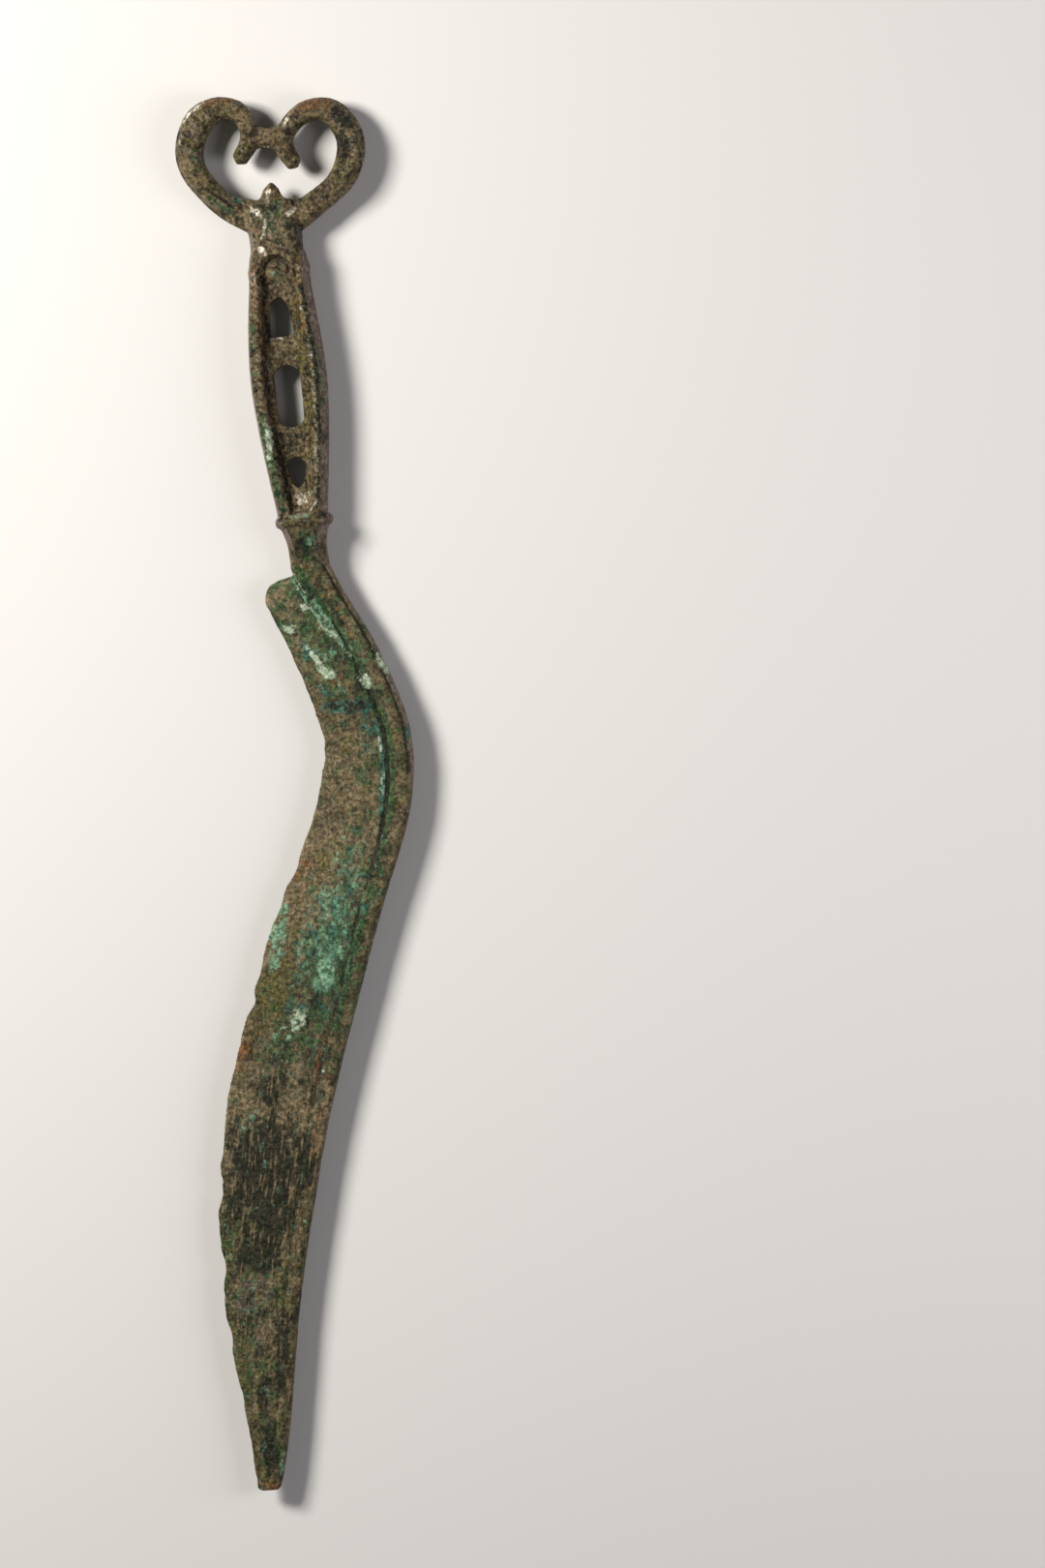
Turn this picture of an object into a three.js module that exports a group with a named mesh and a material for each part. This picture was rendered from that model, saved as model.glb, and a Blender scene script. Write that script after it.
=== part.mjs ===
// A bronze knife of the later Bronze Age: an S-curved blade with a raised back, a narrow neck, a
// collar, an openwork grip and a heart-shaped pommel ring of two scrolls.
// Every element was cast in a two-part mould, so each is a slab that is alike above and below the
// parting plane: a grid of plan points, each with the half thickness of the metal there.
// Millimetres. The middle of the collar is the datum while the knife is drawn. +Y runs up the
// hilt to the pommel, +X is the side of the blade's back, and +Z is up from the face it lies on.

import * as THREE from 'three';

// Collar: a bead with a flat crest, above and below a ledge on each side
const COLLAR_WIDTH = 11.5;
const COLLAR_THICKNESS = 8.4;
const COLLAR_LENGTH = 2.4;
const COLLAR_SIDE = 2.4;
const COLLAR_BEAD = 0.6;
const COLLAR_CHAMFER = 1.6;
const COLLAR_CORNER_SHARE = 0.62;
const COLLAR_ROUND = [[-1, 1], [-0.75, 0.45], [-0.4, 0], [0.4, 0], [0.75, 0.45], [1, 1]];

// Neck, between the collar and the blade
const NECK_LENGTH = 8.2;
const NECK_WAIST = 7.8;
const NECK_OFFSET = 0.3;
const NECK_THICKNESS = 4.4;
const NECK_SWELL_SHARE = 1.25;
const NECK_SIDE = 1.2;
const NECK_BEVEL = 1.7;
const NECK_INSET = 0.2;
const NECK_FLARE = [[0, 1], [0.25, 0.45], [0.6, 0], [1, 0]];
const NECK_ROWS = 7;

// Blade: the back swings out from the neck to a bulge and then returns to the tip
const BLADE_LENGTH = 183.6;
const BLADE_WIDTH = 22.8;
const BLADE_SWING = 13.1;
const BLADE_RETURN = 42.4;
const BLADE_ROWS = 44;
const TIP_THICKNESS = 1.9;
const TIP_ROUND = 1.2;
const TIP_BACK_ROUND = 0.7;

// Heel, where the cutting side steps out from the neck: its corner, then a slope and a round
const HEEL_NOTCH = 0.4;
const HEEL_DROP = 1.4;
const HEEL_SHOULDER = 3.2;
const HEEL_SLOPE_SHARE = 0.2;
const HEEL_ROUND = 4.6;
const HEEL_ROWS = 7;

// Raised band along the blade's back, and the thin plate beside it
const BAND_WIDTH = 6.1;
const BAND_TIP_WIDTH = 2.3;
const BAND_STEP_HEIGHT = 0.45;
const BAND_TIP_STEP_HEIGHT = 0.27;
const BAND_BEVEL = 0.5;
const BAND_HOLLOW_SHARE = 0.97;
const BAND_SIDE_SHARE = 0.6;
const BEVEL_REACH_SHARE = 0.2;
const EDGE_THICKNESS = 0.7;
const EDGE_ROUND_SHARE = 0.6;
const PLATE_COLUMNS = [0, 0.04, 0.2, 0.5, 1];

// Powers of a share, for how early each of these sizes runs out
const BACK_TAPER_POWER = 0.6;
const BAND_TAPER_POWER = 0.7;
const PLATE_BELLY_POWER = 0.7;

// Grip: two rails, joined in the middle by thin webs and bars with three windows between them
const GRIP_WIDTH = 15.6;
const GRIP_OFFSET = -0.15;
const GRIP_THICKNESS = 6.6;
const RAIL_SIDE = 0.9;
const RAIL_SHOULDER = [0.65, 0.75];
const RIM_WIDTH = 1.9;
const RIM_SETBACK = 1.15;
const RIM_ROUND_SHARE = 0.95;
const SLOPE_HOLLOW_SHARE = 0.35;
const WEB_THICKNESS = 1.6;
const LOWER_WEB = 5.5;
const LOWER_WINDOW = 6.3;
const LOWER_BAR = 5.9;
const MIDDLE_WINDOW = 12.7;
const UPPER_BAR = 5.7;
const UPPER_WINDOW = 8;
const UPPER_WEB = 9;
const WINDOW_WIDTH = 5.4;
const LOWER_WINDOW_OFFSET = -0.2;
const UPPER_WINDOW_OFFSET = -0.7;
const LOWER_FILLET = 3.6;
const UPPER_FILLET = 3.2;
const FILLET_DROP = 0.4;
const WEB_ROW_LENGTH = 1.2;
const WINDOW_ROW_LENGTH = 1.8;

// Bow of each window's lower and upper end into the metal
const WINDOW_BOWS = { lower: [2.6, 1.5], middle: [1.2, 1.6], upper: [0.2, 2.3] };

// Throat, where the grip divides into the two scrolls of the ring
const THROAT_WIDTH = 10.9;
const THROAT_OFFSET = 0.15;
const THROAT_THICKNESS = 6.4;
const THROAT_NECK = 3.8;
const THROAT_DIP = [0.55, 0.93];
const THROAT_FACET = 1.3;
const THROAT_PANEL = [0.96, 0.97, 0.97, 0.92, 0.8];
const ROOT_HEIGHT = 7;
const EDGE_ROOT_LIFT = 0.7;
const BACK_ROOT_DROP = 0.6;

// Peg, pointing up from the throat into the ring
const PEG_WIDTH = 5.2;
const PEG_HEIGHT = 3.4;
const PEG_THICKNESS = 3.8;
const PEG_LEAN = 0.3;
const PEG_SIDE = 0.24;
const PEG_SLOPE_SHARE = 0.75;
const PEG_MARGIN = 0.3;
const PEG_TAPER = [[0, 1], [0.3, 0.78], [0.6, 0.6], [0.85, 0.34], [1, 0.12]];

// Ring: the two scrolls curl in at the top and end in stubs
const RING_WIDTH = 33;
const RING_HEIGHT = 22.8;
const SCROLL_WIDTH = 5.55;
const SCROLL_THICKNESS = 5;
const SCROLL_THINNING_SHARE = 0.55;
const SCROLL_ROWS = 40;
const ROOT_SPREAD_SHARE = 1.1;
const STUB_ROUND = 1.3;
const STUB_FLAT_SHARE = 0.1;

// Bridge, which ties the two stubs together
const BRIDGE_LENGTH = 3.9;
const BRIDGE_HEIGHT = 4.8;
const BRIDGE_THICKNESS = 3.6;
const BRIDGE_OFFSET = 0.25;
const BRIDGE_LEVEL_SHARE = 0.7;
const BRIDGE_TILT = 0.4;
const BRIDGE_WAIST_SHARE = 0.84;
const BRIDGE_SIDE = 1;
const BRIDGE_SLOPE_SHARE = 0.8;

// Shapes as pairs of a share along the length and a share of the size that is named beside them
const BACK_RISE = [[0, 0], [0.03, 0.18], [0.08, 0.525], [0.15, 0.87], [0.2, 1]];
const BACK_FALL = [[0.275, 0.043], [0.4, 0.261], [0.59, 0.564], [0.72, 0.727], [0.82, 0.832],
  [0.94, 0.932], [1, 1]];
const WIDTH_SHARES = [[0.038, 0.752], [0.1, 0.778], [0.2, 0.808], [0.3, 0.927], [0.4, 0.993],
  [0.5, 1], [0.6, 0.972], [0.7, 0.865], [0.8, 0.69], [0.9, 0.47], [1, 0.21]];
const TIP_CURVE = [[0.5, 0.13], [0.15, 0.5], [0, 1]];
const GRIP_SHARES = [[0, 0.655], [0.2, 0.82], [0.35, 0.935], [0.52, 1], [0.7, 0.94],
  [0.85, 0.825], [0.96, 0.775], [1, 0.73]];
const WINDOW_SHARES = [[0, 0.5], [0.16, 0.64], [0.33, 0.91], [0.48, 1], [0.69, 0.9],
  [0.79, 0.71], [1, 0.5]];

// Middle line of each scroll from its root: shares of half the ring's width and of its height,
// and the bar's width there as a share of the scroll's width
const EDGE_SCROLL = [[-0.59, 0.157, 0.94], [-0.773, 0.306, 0.89], [-0.915, 0.475, 0.94],
  [-0.95, 0.62, 1.01], [-0.9, 0.78, 1.04], [-0.773, 0.922, 1.06], [-0.539, 1, 0.87],
  [-0.309, 0.958, 0.77], [-0.19, 0.83, 0.72], [-0.19, 0.69, 0.7], [-0.309, 0.562, 0.62],
  [-0.385, 0.492, 0.56]];
const BACK_SCROLL = [[0.54, 0.072, 0.93], [0.758, 0.172, 0.88], [0.915, 0.28, 0.95],
  [1.03, 0.45, 1], [1.047, 0.62, 1], [0.955, 0.78, 0.98], [0.824, 0.872, 0.9],
  [0.658, 0.9, 0.79], [0.491, 0.874, 0.76], [0.336, 0.791, 0.7], [0.237, 0.69, 0.68],
  [0.23, 0.59, 0.67], [0.3, 0.48, 0.62], [0.38, 0.4, 0.56]];

// Cross section of a scroll from its outer side to its inner side: shares of width and thickness
const SCROLL_SECTION = [[-0.5, 0.13], [-0.35, 0.35], [-0.2, 0.49], [0.08, 0.5], [0.33, 0.42],
  [0.5, 0.16]];

// Levels up the hilt, and the share of the blade that the heel takes
const BLADE_TOP = -COLLAR_LENGTH / 2 - NECK_LENGTH;
const GRIP_BASE = COLLAR_LENGTH / 2;
const GRIP_LENGTH = LOWER_WEB + LOWER_WINDOW + LOWER_BAR + MIDDLE_WINDOW + UPPER_BAR
  + UPPER_WINDOW + UPPER_WEB;
const GRIP_TOP = GRIP_BASE + GRIP_LENGTH;
const ROOT_BASE = GRIP_TOP + THROAT_NECK;
const RING_BASE = ROOT_BASE + ROOT_HEIGHT / 2;
const FLOOR = ROOT_BASE + ROOT_HEIGHT;
const HEEL_SHARE = WIDTH_SHARES[0][0];

const BRONZE = '#6e6350';
const GREEN_BRONZE = '#5f6a52';
const DARK_BRONZE = '#54503f';

const { lerp, clamp, smoothstep } = THREE.MathUtils;

// Evenly spaced shares from 0 to 1.
function evenly(steps) {
  return Array.from({ length: steps + 1 }, (_, i) => i / steps);
}

// Evenly spaced values from start to end, at most one gap apart.
function spread(start, end, gap) {
  return evenly(Math.ceil((end - start) / gap)).map((share) => lerp(start, end, share));
}

// A smooth curve through [position, value] pairs, read at any position between them.
function profile(points) {
  const slope = (i, j) => (points[j][1] - points[i][1]) / (points[j][0] - points[i][0]);
  const last = points.length - 1;
  const tangents = points.map((_, i) => slope(Math.max(i - 1, 0), Math.min(i + 1, last)));
  return (position) => {
    const next = points.findIndex((point) => point[0] > position);
    const i = next < 0 ? last - 1 : Math.max(next - 1, 0);
    const span = points[i + 1][0] - points[i][0];
    const t = clamp((position - points[i][0]) / span, 0, 1);
    const rest = 1 - t;
    return (1 + 2 * t) * rest * rest * points[i][1] + t * rest * rest * span * tangents[i]
      + t * t * (3 - 2 * t) * points[i + 1][1] - t * t * rest * span * tangents[i + 1];
  };
}

// A profile whose values are shares of one size, measured from a base value.
function scaledProfile(shares, size, base = 0) {
  return profile(shares.map(([position, share]) => [position, base + size * share]));
}

// A closed slab from a grid of [x, y, half thickness], alike above and below the parting plane.
function castSlab(name, color, grid) {
  const rows = grid.length;
  const columns = grid[0].length;
  const below = rows * columns;
  const positions = [];
  const faces = [];
  for (const side of [1, -1]) {
    grid.flat().forEach(([x, y, half]) => positions.push(x, y, side * half));
  }
  const quad = (a, b, c, d) => faces.push(a, b, c, a, c, d);
  const at = (row, column) => row * columns + column;
  for (let row = 0; row < rows - 1; row += 1) {
    for (let column = 0; column < columns - 1; column += 1) {
      const corners = [at(row, column), at(row, column + 1), at(row + 1, column + 1),
        at(row + 1, column)];
      quad(...corners);
      quad(...corners.map((corner) => corner + below).reverse());
    }
  }
  const border = [];
  for (let column = 0; column < columns - 1; column += 1) border.push(at(0, column));
  for (let row = 0; row < rows - 1; row += 1) border.push(at(row, columns - 1));
  for (let column = columns - 1; column > 0; column -= 1) border.push(at(rows - 1, column));
  for (let row = rows - 1; row > 0; row -= 1) border.push(at(row, 0));
  border.forEach((corner, i) => {
    const next = border[(i + 1) % border.length];
    quad(next, corner, corner + below, next + below);
  });
  if (turnsClockwise(border.map((corner) => grid.flat()[corner]))) faces.reverse();
  const geometry = new THREE.BufferGeometry();
  geometry.setAttribute('position', new THREE.Float32BufferAttribute(positions, 3));
  geometry.setIndex(faces);
  geometry.computeVertexNormals();
  const material = new THREE.MeshStandardMaterial({ color, roughness: 0.55, metalness: 0.7 });
  const mesh = new THREE.Mesh(geometry, material);
  mesh.name = name;
  return mesh;
}

function turnsClockwise(outline) {
  return THREE.ShapeUtils.area(outline.map(([x, y]) => new THREE.Vector2(x, y))) < 0;
}

// The collar's crest is flat, and the knife lies on it.
function collar() {
  const grid = COLLAR_ROUND.map(([share, inset]) => {
    const y = share * COLLAR_LENGTH / 2;
    const wide = COLLAR_WIDTH / 2 - inset * COLLAR_BEAD;
    const thick = COLLAR_THICKNESS / 2 - inset * COLLAR_BEAD;
    const corner = wide - COLLAR_BEAD;
    const panel = wide - COLLAR_CHAMFER;
    return [[-wide, y, COLLAR_SIDE / 2], [-corner, y, thick * COLLAR_CORNER_SHARE],
      [-panel, y, thick], [panel, y, thick], [corner, y, thick * COLLAR_CORNER_SHARE],
      [wide, y, COLLAR_SIDE / 2]];
  });
  return castSlab('collar', BRONZE, grid);
}

// The neck's outline is waisted. Its lower end is the upper end of the blade.
const neckEnd = {
  left: NECK_OFFSET - NECK_WAIST / 2,
  right: NECK_OFFSET + NECK_WAIST / 2,
  half: NECK_THICKNESS / 2,
  side: NECK_SIDE / 2,
};

function neck() {
  const flared = COLLAR_WIDTH / 2 - COLLAR_BEAD - NECK_INSET - NECK_WAIST / 2;
  const flare = scaledProfile(NECK_FLARE, flared, NECK_WAIST / 2);
  const half = profile([[0, COLLAR_THICKNESS / 2 - COLLAR_BEAD],
    [0.5, neckEnd.half * NECK_SWELL_SHARE], [1, neckEnd.half]]);
  const grid = evenly(NECK_ROWS).map((share) => {
    const y = -COLLAR_LENGTH / 2 - share * NECK_LENGTH;
    const left = lerp(-flare(share), neckEnd.left, share);
    const right = lerp(flare(share), neckEnd.right, share);
    const thick = half(share);
    return [[left, y, neckEnd.side], [left + NECK_BEVEL, y, thick],
      [right - NECK_BEVEL, y, thick], [right, y, neckEnd.side]];
  });
  return castSlab('neck', GREEN_BRONZE, grid);
}

// Lines of the blade, each as x at a share of the blade's length below the neck.
const backLine = profile([
  ...BACK_RISE.map(([share, rise]) => [share, neckEnd.right + BLADE_SWING * rise]),
  ...BACK_FALL.map(([share, fall]) => [share,
    neckEnd.right + BLADE_SWING - BLADE_RETURN * fall]),
]);
const bladeWidth = scaledProfile(WIDTH_SHARES, BLADE_WIDTH);
const edgeLine = (share) => backLine(share) - bladeWidth(share);
const backHalf = (share) => lerp(neckEnd.half, TIP_THICKNESS / 2, share ** BACK_TAPER_POWER);
const bladeY = (share) => BLADE_TOP - share * BLADE_LENGTH;
const shareAt = (y) => (BLADE_TOP - y) / BLADE_LENGTH;

// The band starts as the neck's front panel and has its own width from the heel on.
function bandWidth(share) {
  const start = neckEnd.right - neckEnd.left - NECK_BEVEL;
  const taper = lerp(BAND_WIDTH, BAND_TIP_WIDTH, share ** BAND_TAPER_POWER);
  return lerp(start, taper, Math.sqrt(Math.min(share / HEEL_SHARE, 1)));
}

// The cutting side: down the neck's side, out along the heel, round its corner and down the edge.
function cuttingSide() {
  const corner = new THREE.Vector2(neckEnd.left + HEEL_NOTCH, BLADE_TOP - HEEL_DROP);
  const shoulder = new THREE.Vector2(corner.x - HEEL_SHOULDER,
    corner.y - HEEL_SLOPE_SHARE * HEEL_SHOULDER);
  const heelEnd = new THREE.Vector2(edgeLine(HEEL_SHARE), shoulder.y - HEEL_ROUND);
  const turn = new THREE.Vector2(heelEnd.x,
    shoulder.y - HEEL_SLOPE_SHARE * (shoulder.x - heelEnd.x));
  const round = new THREE.QuadraticBezierCurve(shoulder, turn, heelEnd);
  const points = [new THREE.Vector2(neckEnd.left, BLADE_TOP), corner,
    corner.clone().lerp(shoulder, 0.5), ...round.getPoints(HEEL_ROWS)];
  for (const along of evenly(BLADE_ROWS).slice(1, -1)) {
    const share = lerp(shareAt(heelEnd.y), 1, along);
    points.push(new THREE.Vector2(edgeLine(share), bladeY(share)));
  }
  for (const [up, inset] of TIP_CURVE) {
    const share = 1 - up * TIP_ROUND / BLADE_LENGTH;
    points.push(new THREE.Vector2(edgeLine(share) + inset * TIP_ROUND, bladeY(share)));
  }
  return points;
}

// Rows that the plate and the band share, so that they meet in one step line.
const bladeRows = cuttingSide().map((edge) => {
  const share = shareAt(edge.y);
  const nearTip = Math.max(0, 1 - (edge.y - bladeY(1)) / TIP_ROUND);
  const back = backLine(share) - nearTip * nearTip * TIP_BACK_ROUND;
  return { edge, share, back, step: backLine(share) - bandWidth(share), y: edge.y };
});

function bladeBack() {
  const grid = bladeRows.map(({ share, back, step, y }) => {
    const half = backHalf(share);
    const bevel = lerp(NECK_BEVEL, BAND_BEVEL, smoothstep(share, 0, BEVEL_REACH_SHARE));
    const ridge = Math.max(back - bevel, lerp(step, back, 0.5));
    return [[step, y, half], [lerp(step, ridge, 0.5), y, half * BAND_HOLLOW_SHARE],
      [ridge, y, half], [back, y, Math.min(neckEnd.side, half * BAND_SIDE_SHARE)]];
  });
  return castSlab('blade_back', BRONZE, grid);
}

function bladePlate() {
  const grid = bladeRows.map(({ edge, share, step, y }) => {
    const full = backHalf(share) - lerp(BAND_STEP_HEIGHT, BAND_TIP_STEP_HEIGHT, share);
    const thinned = Math.min(share / (HEEL_SHARE / 2), 1);
    const thin = lerp(neckEnd.side, EDGE_THICKNESS / 2, thinned);
    return PLATE_COLUMNS.map((across) => [lerp(edge.x, step, across), y,
      across === 0 ? thin * EDGE_ROUND_SHARE : lerp(thin, full, across ** PLATE_BELLY_POWER)]);
  });
  return castSlab('blade_plate', GREEN_BRONZE, grid);
}

// Half widths of the grip and of its windows, at a share of the grip's length.
const gripHalfWidth = scaledProfile(GRIP_SHARES, GRIP_WIDTH / 2);
const windowHalfWidth = scaledProfile(WINDOW_SHARES, WINDOW_WIDTH / 2);
const gripShare = (y) => (y - GRIP_BASE) / GRIP_LENGTH;

// Each rail ends at the channel's side, and the webs and bars fill the channel from side to side.
function channel(y, side) {
  const share = gripShare(y);
  return side * windowHalfWidth(share) + lerp(LOWER_WINDOW_OFFSET, UPPER_WINDOW_OFFSET, share);
}

// The web is thin in the middle of the grip and rises in a fillet to the collar and the throat.
function webHalf(y) {
  const low = Math.max(0, 1 - (y - GRIP_BASE) / LOWER_FILLET);
  const high = Math.max(0, 1 - (GRIP_TOP - y) / UPPER_FILLET);
  const full = GRIP_THICKNESS / 2 - FILLET_DROP;
  return lerp(WEB_THICKNESS / 2, full, Math.min(low * low + high * high, 1));
}

// The webs and bars from the collar up, each with its rows. The rails have all those rows too.
function layOutGrip() {
  const webs = [
    { name: 'grip_web_lower', length: LOWER_WEB, window: LOWER_WINDOW, below: 0,
      above: WINDOW_BOWS.lower[0] },
    { name: 'grip_bar_lower', length: LOWER_BAR, window: MIDDLE_WINDOW,
      below: WINDOW_BOWS.lower[1], above: WINDOW_BOWS.middle[0] },
    { name: 'grip_bar_upper', length: UPPER_BAR, window: UPPER_WINDOW,
      below: WINDOW_BOWS.middle[1], above: WINDOW_BOWS.upper[0] },
    { name: 'grip_web_upper', length: UPPER_WEB, window: 0, below: WINDOW_BOWS.upper[1],
      above: 0 },
  ];
  let foot = GRIP_BASE;
  for (const web of webs) {
    web.levels = spread(foot - web.below, foot + web.length + web.above, WEB_ROW_LENGTH);
    foot += web.length + web.window;
  }
  const levels = webs.flatMap((web, i) => {
    if (i === webs.length - 1) return web.levels;
    const open = spread(web.levels.at(-1), webs[i + 1].levels[0], WINDOW_ROW_LENGTH);
    return [...web.levels, ...open.slice(1, -1)];
  });
  return { webs, levels };
}

function gripWeb({ name, levels, below, above }) {
  const columns = [0, 0.12, 0.3, 0.5, 0.7, 0.88, 1];
  const [start, end] = [levels[0], levels.at(-1)];
  const grid = levels.map((y) => columns.map((across) => {
    const bow = 1 - (2 * across - 1) ** 2;
    const bowed = y + bow * lerp(below, -above, (y - start) / (end - start));
    return [lerp(channel(y, -1), channel(y, 1), across), bowed, webHalf(y)];
  }));
  return castSlab(name, DARK_BRONZE, grid);
}

// A rail from its outer side over the rim and down the inner slope to the channel.
function gripRail(name, side, levels) {
  const half = GRIP_THICKNESS / 2;
  const rimHalf = half * RIM_ROUND_SHARE;
  const [shoulder, shoulderHalf] = RAIL_SHOULDER;
  const grid = levels.map((y) => {
    const share = gripShare(y);
    const offset = lerp(GRIP_OFFSET, THROAT_OFFSET, smoothstep(share, 0.7, 1));
    const outer = offset + side * gripHalfWidth(share);
    const inner = channel(y, side);
    const rim = outer - side * RIM_SETBACK;
    const rimEnd = rim - side * RIM_WIDTH;
    return [[outer, y, RAIL_SIDE / 2], [lerp(outer, rim, shoulder), y, half * shoulderHalf],
      [rim, y, rimHalf], [lerp(rim, rimEnd, 0.5), y, half], [rimEnd, y, rimHalf],
      [lerp(rimEnd, inner, 0.5), y, lerp(webHalf(y), rimHalf, SLOPE_HOLLOW_SHARE)],
      [inner, y, webHalf(y)]];
  });
  return castSlab(name, BRONZE, grid);
}

// Roots of the scrolls: the slanting section where each leaves the throat's flat side.
const roots = {
  edge: { side: -1, low: ROOT_BASE + EDGE_ROOT_LIFT, high: FLOOR + EDGE_ROOT_LIFT },
  back: { side: 1, low: ROOT_BASE, high: FLOOR - BACK_ROOT_DROP },
};

function rootSection({ low, high, side }) {
  const x = THROAT_OFFSET + side * THROAT_WIDTH / 2;
  return SCROLL_SECTION.map(([across, thick]) => [x,
    lerp(low, high, across + 0.5), thick * SCROLL_THICKNESS]);
}

function throat() {
  const [left, right] = [rootSection(roots.edge), rootSection(roots.back)];
  const [west, east] = [left[0][0], right[0][0]];
  const seat = PEG_WIDTH / 2 + PEG_MARGIN;
  const columns = [west, west + THROAT_FACET, -seat, 0, seat, east - THROAT_FACET, east];
  const half = THROAT_THICKNESS / 2;
  const panelHalf = [...THROAT_PANEL.map((share) => half * share), PEG_THICKNESS / 2];
  const [dip, dipHalf] = THROAT_DIP;
  const grid = columns.map((x, i) => {
    const flank = i === 0 || i === columns.length - 1;
    const across = (x - west) / (east - west);
    const upper = left.map((point, k) => {
      const root = lerp(point[1], right[k][1], across);
      const underPeg = k === left.length - 1 && Math.abs(x) <= seat;
      return [x, underPeg ? FLOOR : root, flank ? point[2] : panelHalf[k]];
    });
    return [[x, GRIP_TOP, flank ? RAIL_SIDE / 2 : half],
      [x, GRIP_TOP + THROAT_NECK * dip, flank ? RAIL_SIDE / 2 : half * dipHalf], ...upper];
  });
  return castSlab('pommel_throat', BRONZE, grid);
}

// The peg is four-sided, and has an edge down the middle of its front and its back.
function peg() {
  const grid = PEG_TAPER.map(([up, size]) => [-1, -0.6, 0, 0.6, 1].map((across) => {
    const half = (1 - PEG_SLOPE_SHARE * Math.abs(across)) * size * PEG_THICKNESS / 2;
    return [across * size * PEG_WIDTH / 2 + up * PEG_LEAN, FLOOR + up * PEG_HEIGHT,
      Math.max(PEG_SIDE / 2, half)];
  }));
  return castSlab('pommel_peg', BRONZE, grid);
}

// A scroll is swept along its middle line, tapers to its stub, and is flat where the bridge sits.
function scroll(name, root, shares) {
  const section = rootSection(root);
  const start = new THREE.Vector3(section[0][0], (root.low + root.high) / 2, ROOT_SPREAD_SHARE);
  const points = shares.map(([x, y, width]) => new THREE.Vector3(x * RING_WIDTH / 2,
    RING_BASE + y * RING_HEIGHT, width));
  const line = new THREE.CatmullRomCurve3([start, ...points], false, 'centripetal');
  const seat = BRIDGE_OFFSET + root.side * BRIDGE_LENGTH / 2;
  const rows = evenly(SCROLL_ROWS).slice(2).map((share) => scrollRow(line, share, root.side,
    seat));
  return castSlab(name, BRONZE, [section, ...rows]);
}

// One row across a scroll. The line's third coordinate is the bar's share of the full width.
function scrollRow(line, share, side, seat) {
  const centre = line.getPointAt(share);
  const tangent = line.getTangentAt(share);
  const inward = new THREE.Vector2(-side * tangent.y, side * tangent.x).normalize();
  const toEnd = Math.min((1 - share) * line.getLength() / STUB_ROUND, 1);
  const dome = lerp(STUB_FLAT_SHARE, 1, Math.sqrt(1 - (1 - toEnd) ** 2));
  const thickness = SCROLL_THICKNESS * lerp(SCROLL_THINNING_SHARE, 1, Math.min(centre.z, 1));
  return SCROLL_SECTION.map(([across, thick]) => {
    const reach = across * centre.z * SCROLL_WIDTH * dome;
    const x = centre.x + reach * inward.x;
    const seated = side < 0 ? Math.min(x, seat) : Math.max(x, seat);
    return [seated, centre.y + reach * inward.y, thick * thickness * dome];
  });
}

function bridge() {
  const level = RING_BASE + BRIDGE_LEVEL_SHARE * RING_HEIGHT;
  const grid = [-1, -0.5, 0, 0.5, 1].map((along) => {
    const x = BRIDGE_OFFSET + along * BRIDGE_LENGTH / 2;
    const height = BRIDGE_HEIGHT * lerp(BRIDGE_WAIST_SHARE, 1, along * along);
    return [-0.5, -0.3, 0, 0.3, 0.5].map((across) => {
      const half = (1 - BRIDGE_SLOPE_SHARE * Math.abs(across)) * BRIDGE_THICKNESS / 2;
      return [x, level + across * height - BRIDGE_TILT * along,
        Math.abs(across) === 0.5 ? BRIDGE_SIDE / 2 : half];
    });
  });
  return castSlab('pommel_bridge', BRONZE, grid);
}

const grip = layOutGrip();
const knife = new THREE.Group();
knife.add(
  bladePlate(),
  bladeBack(),
  neck(),
  collar(),
  gripRail('grip_rail_edge_side', -1, grip.levels),
  gripRail('grip_rail_back_side', 1, grip.levels),
  ...grip.webs.map(gripWeb),
  throat(),
  peg(),
  scroll('pommel_scroll_edge_side', roots.edge, EDGE_SCROLL),
  scroll('pommel_scroll_back_side', roots.back, BACK_SCROLL),
  bridge(),
);

// The knife lies flat with its origin under the middle of its box.
const box = new THREE.Box3().setFromObject(knife);
const centre = box.getCenter(new THREE.Vector3());
knife.position.set(-centre.x, -centre.y, -box.min.z);

export default knife;
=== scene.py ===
"""The looks of a cast bronze knife of the later Bronze Age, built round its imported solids.

The solids are melted into one skin, softened where their pieces meet, corroded, and cut apart
again, so that each piece of the knife is a closed mesh that stands for its own solid.

Lengths are millimetres from the middle of the collar until a mesh is finished, and metres then.
The pommel points up the y axis, the knife's back lies towards higher x, and z points out of the
face that the photograph shows. Both faces are worked alike.
"""

from __future__ import annotations

import logging
import math
from dataclasses import dataclass, field
from enum import Enum
from typing import Callable, Iterable, Union

import bmesh
import bpy
import numpy as np
from mathutils import Matrix, Vector

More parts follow.
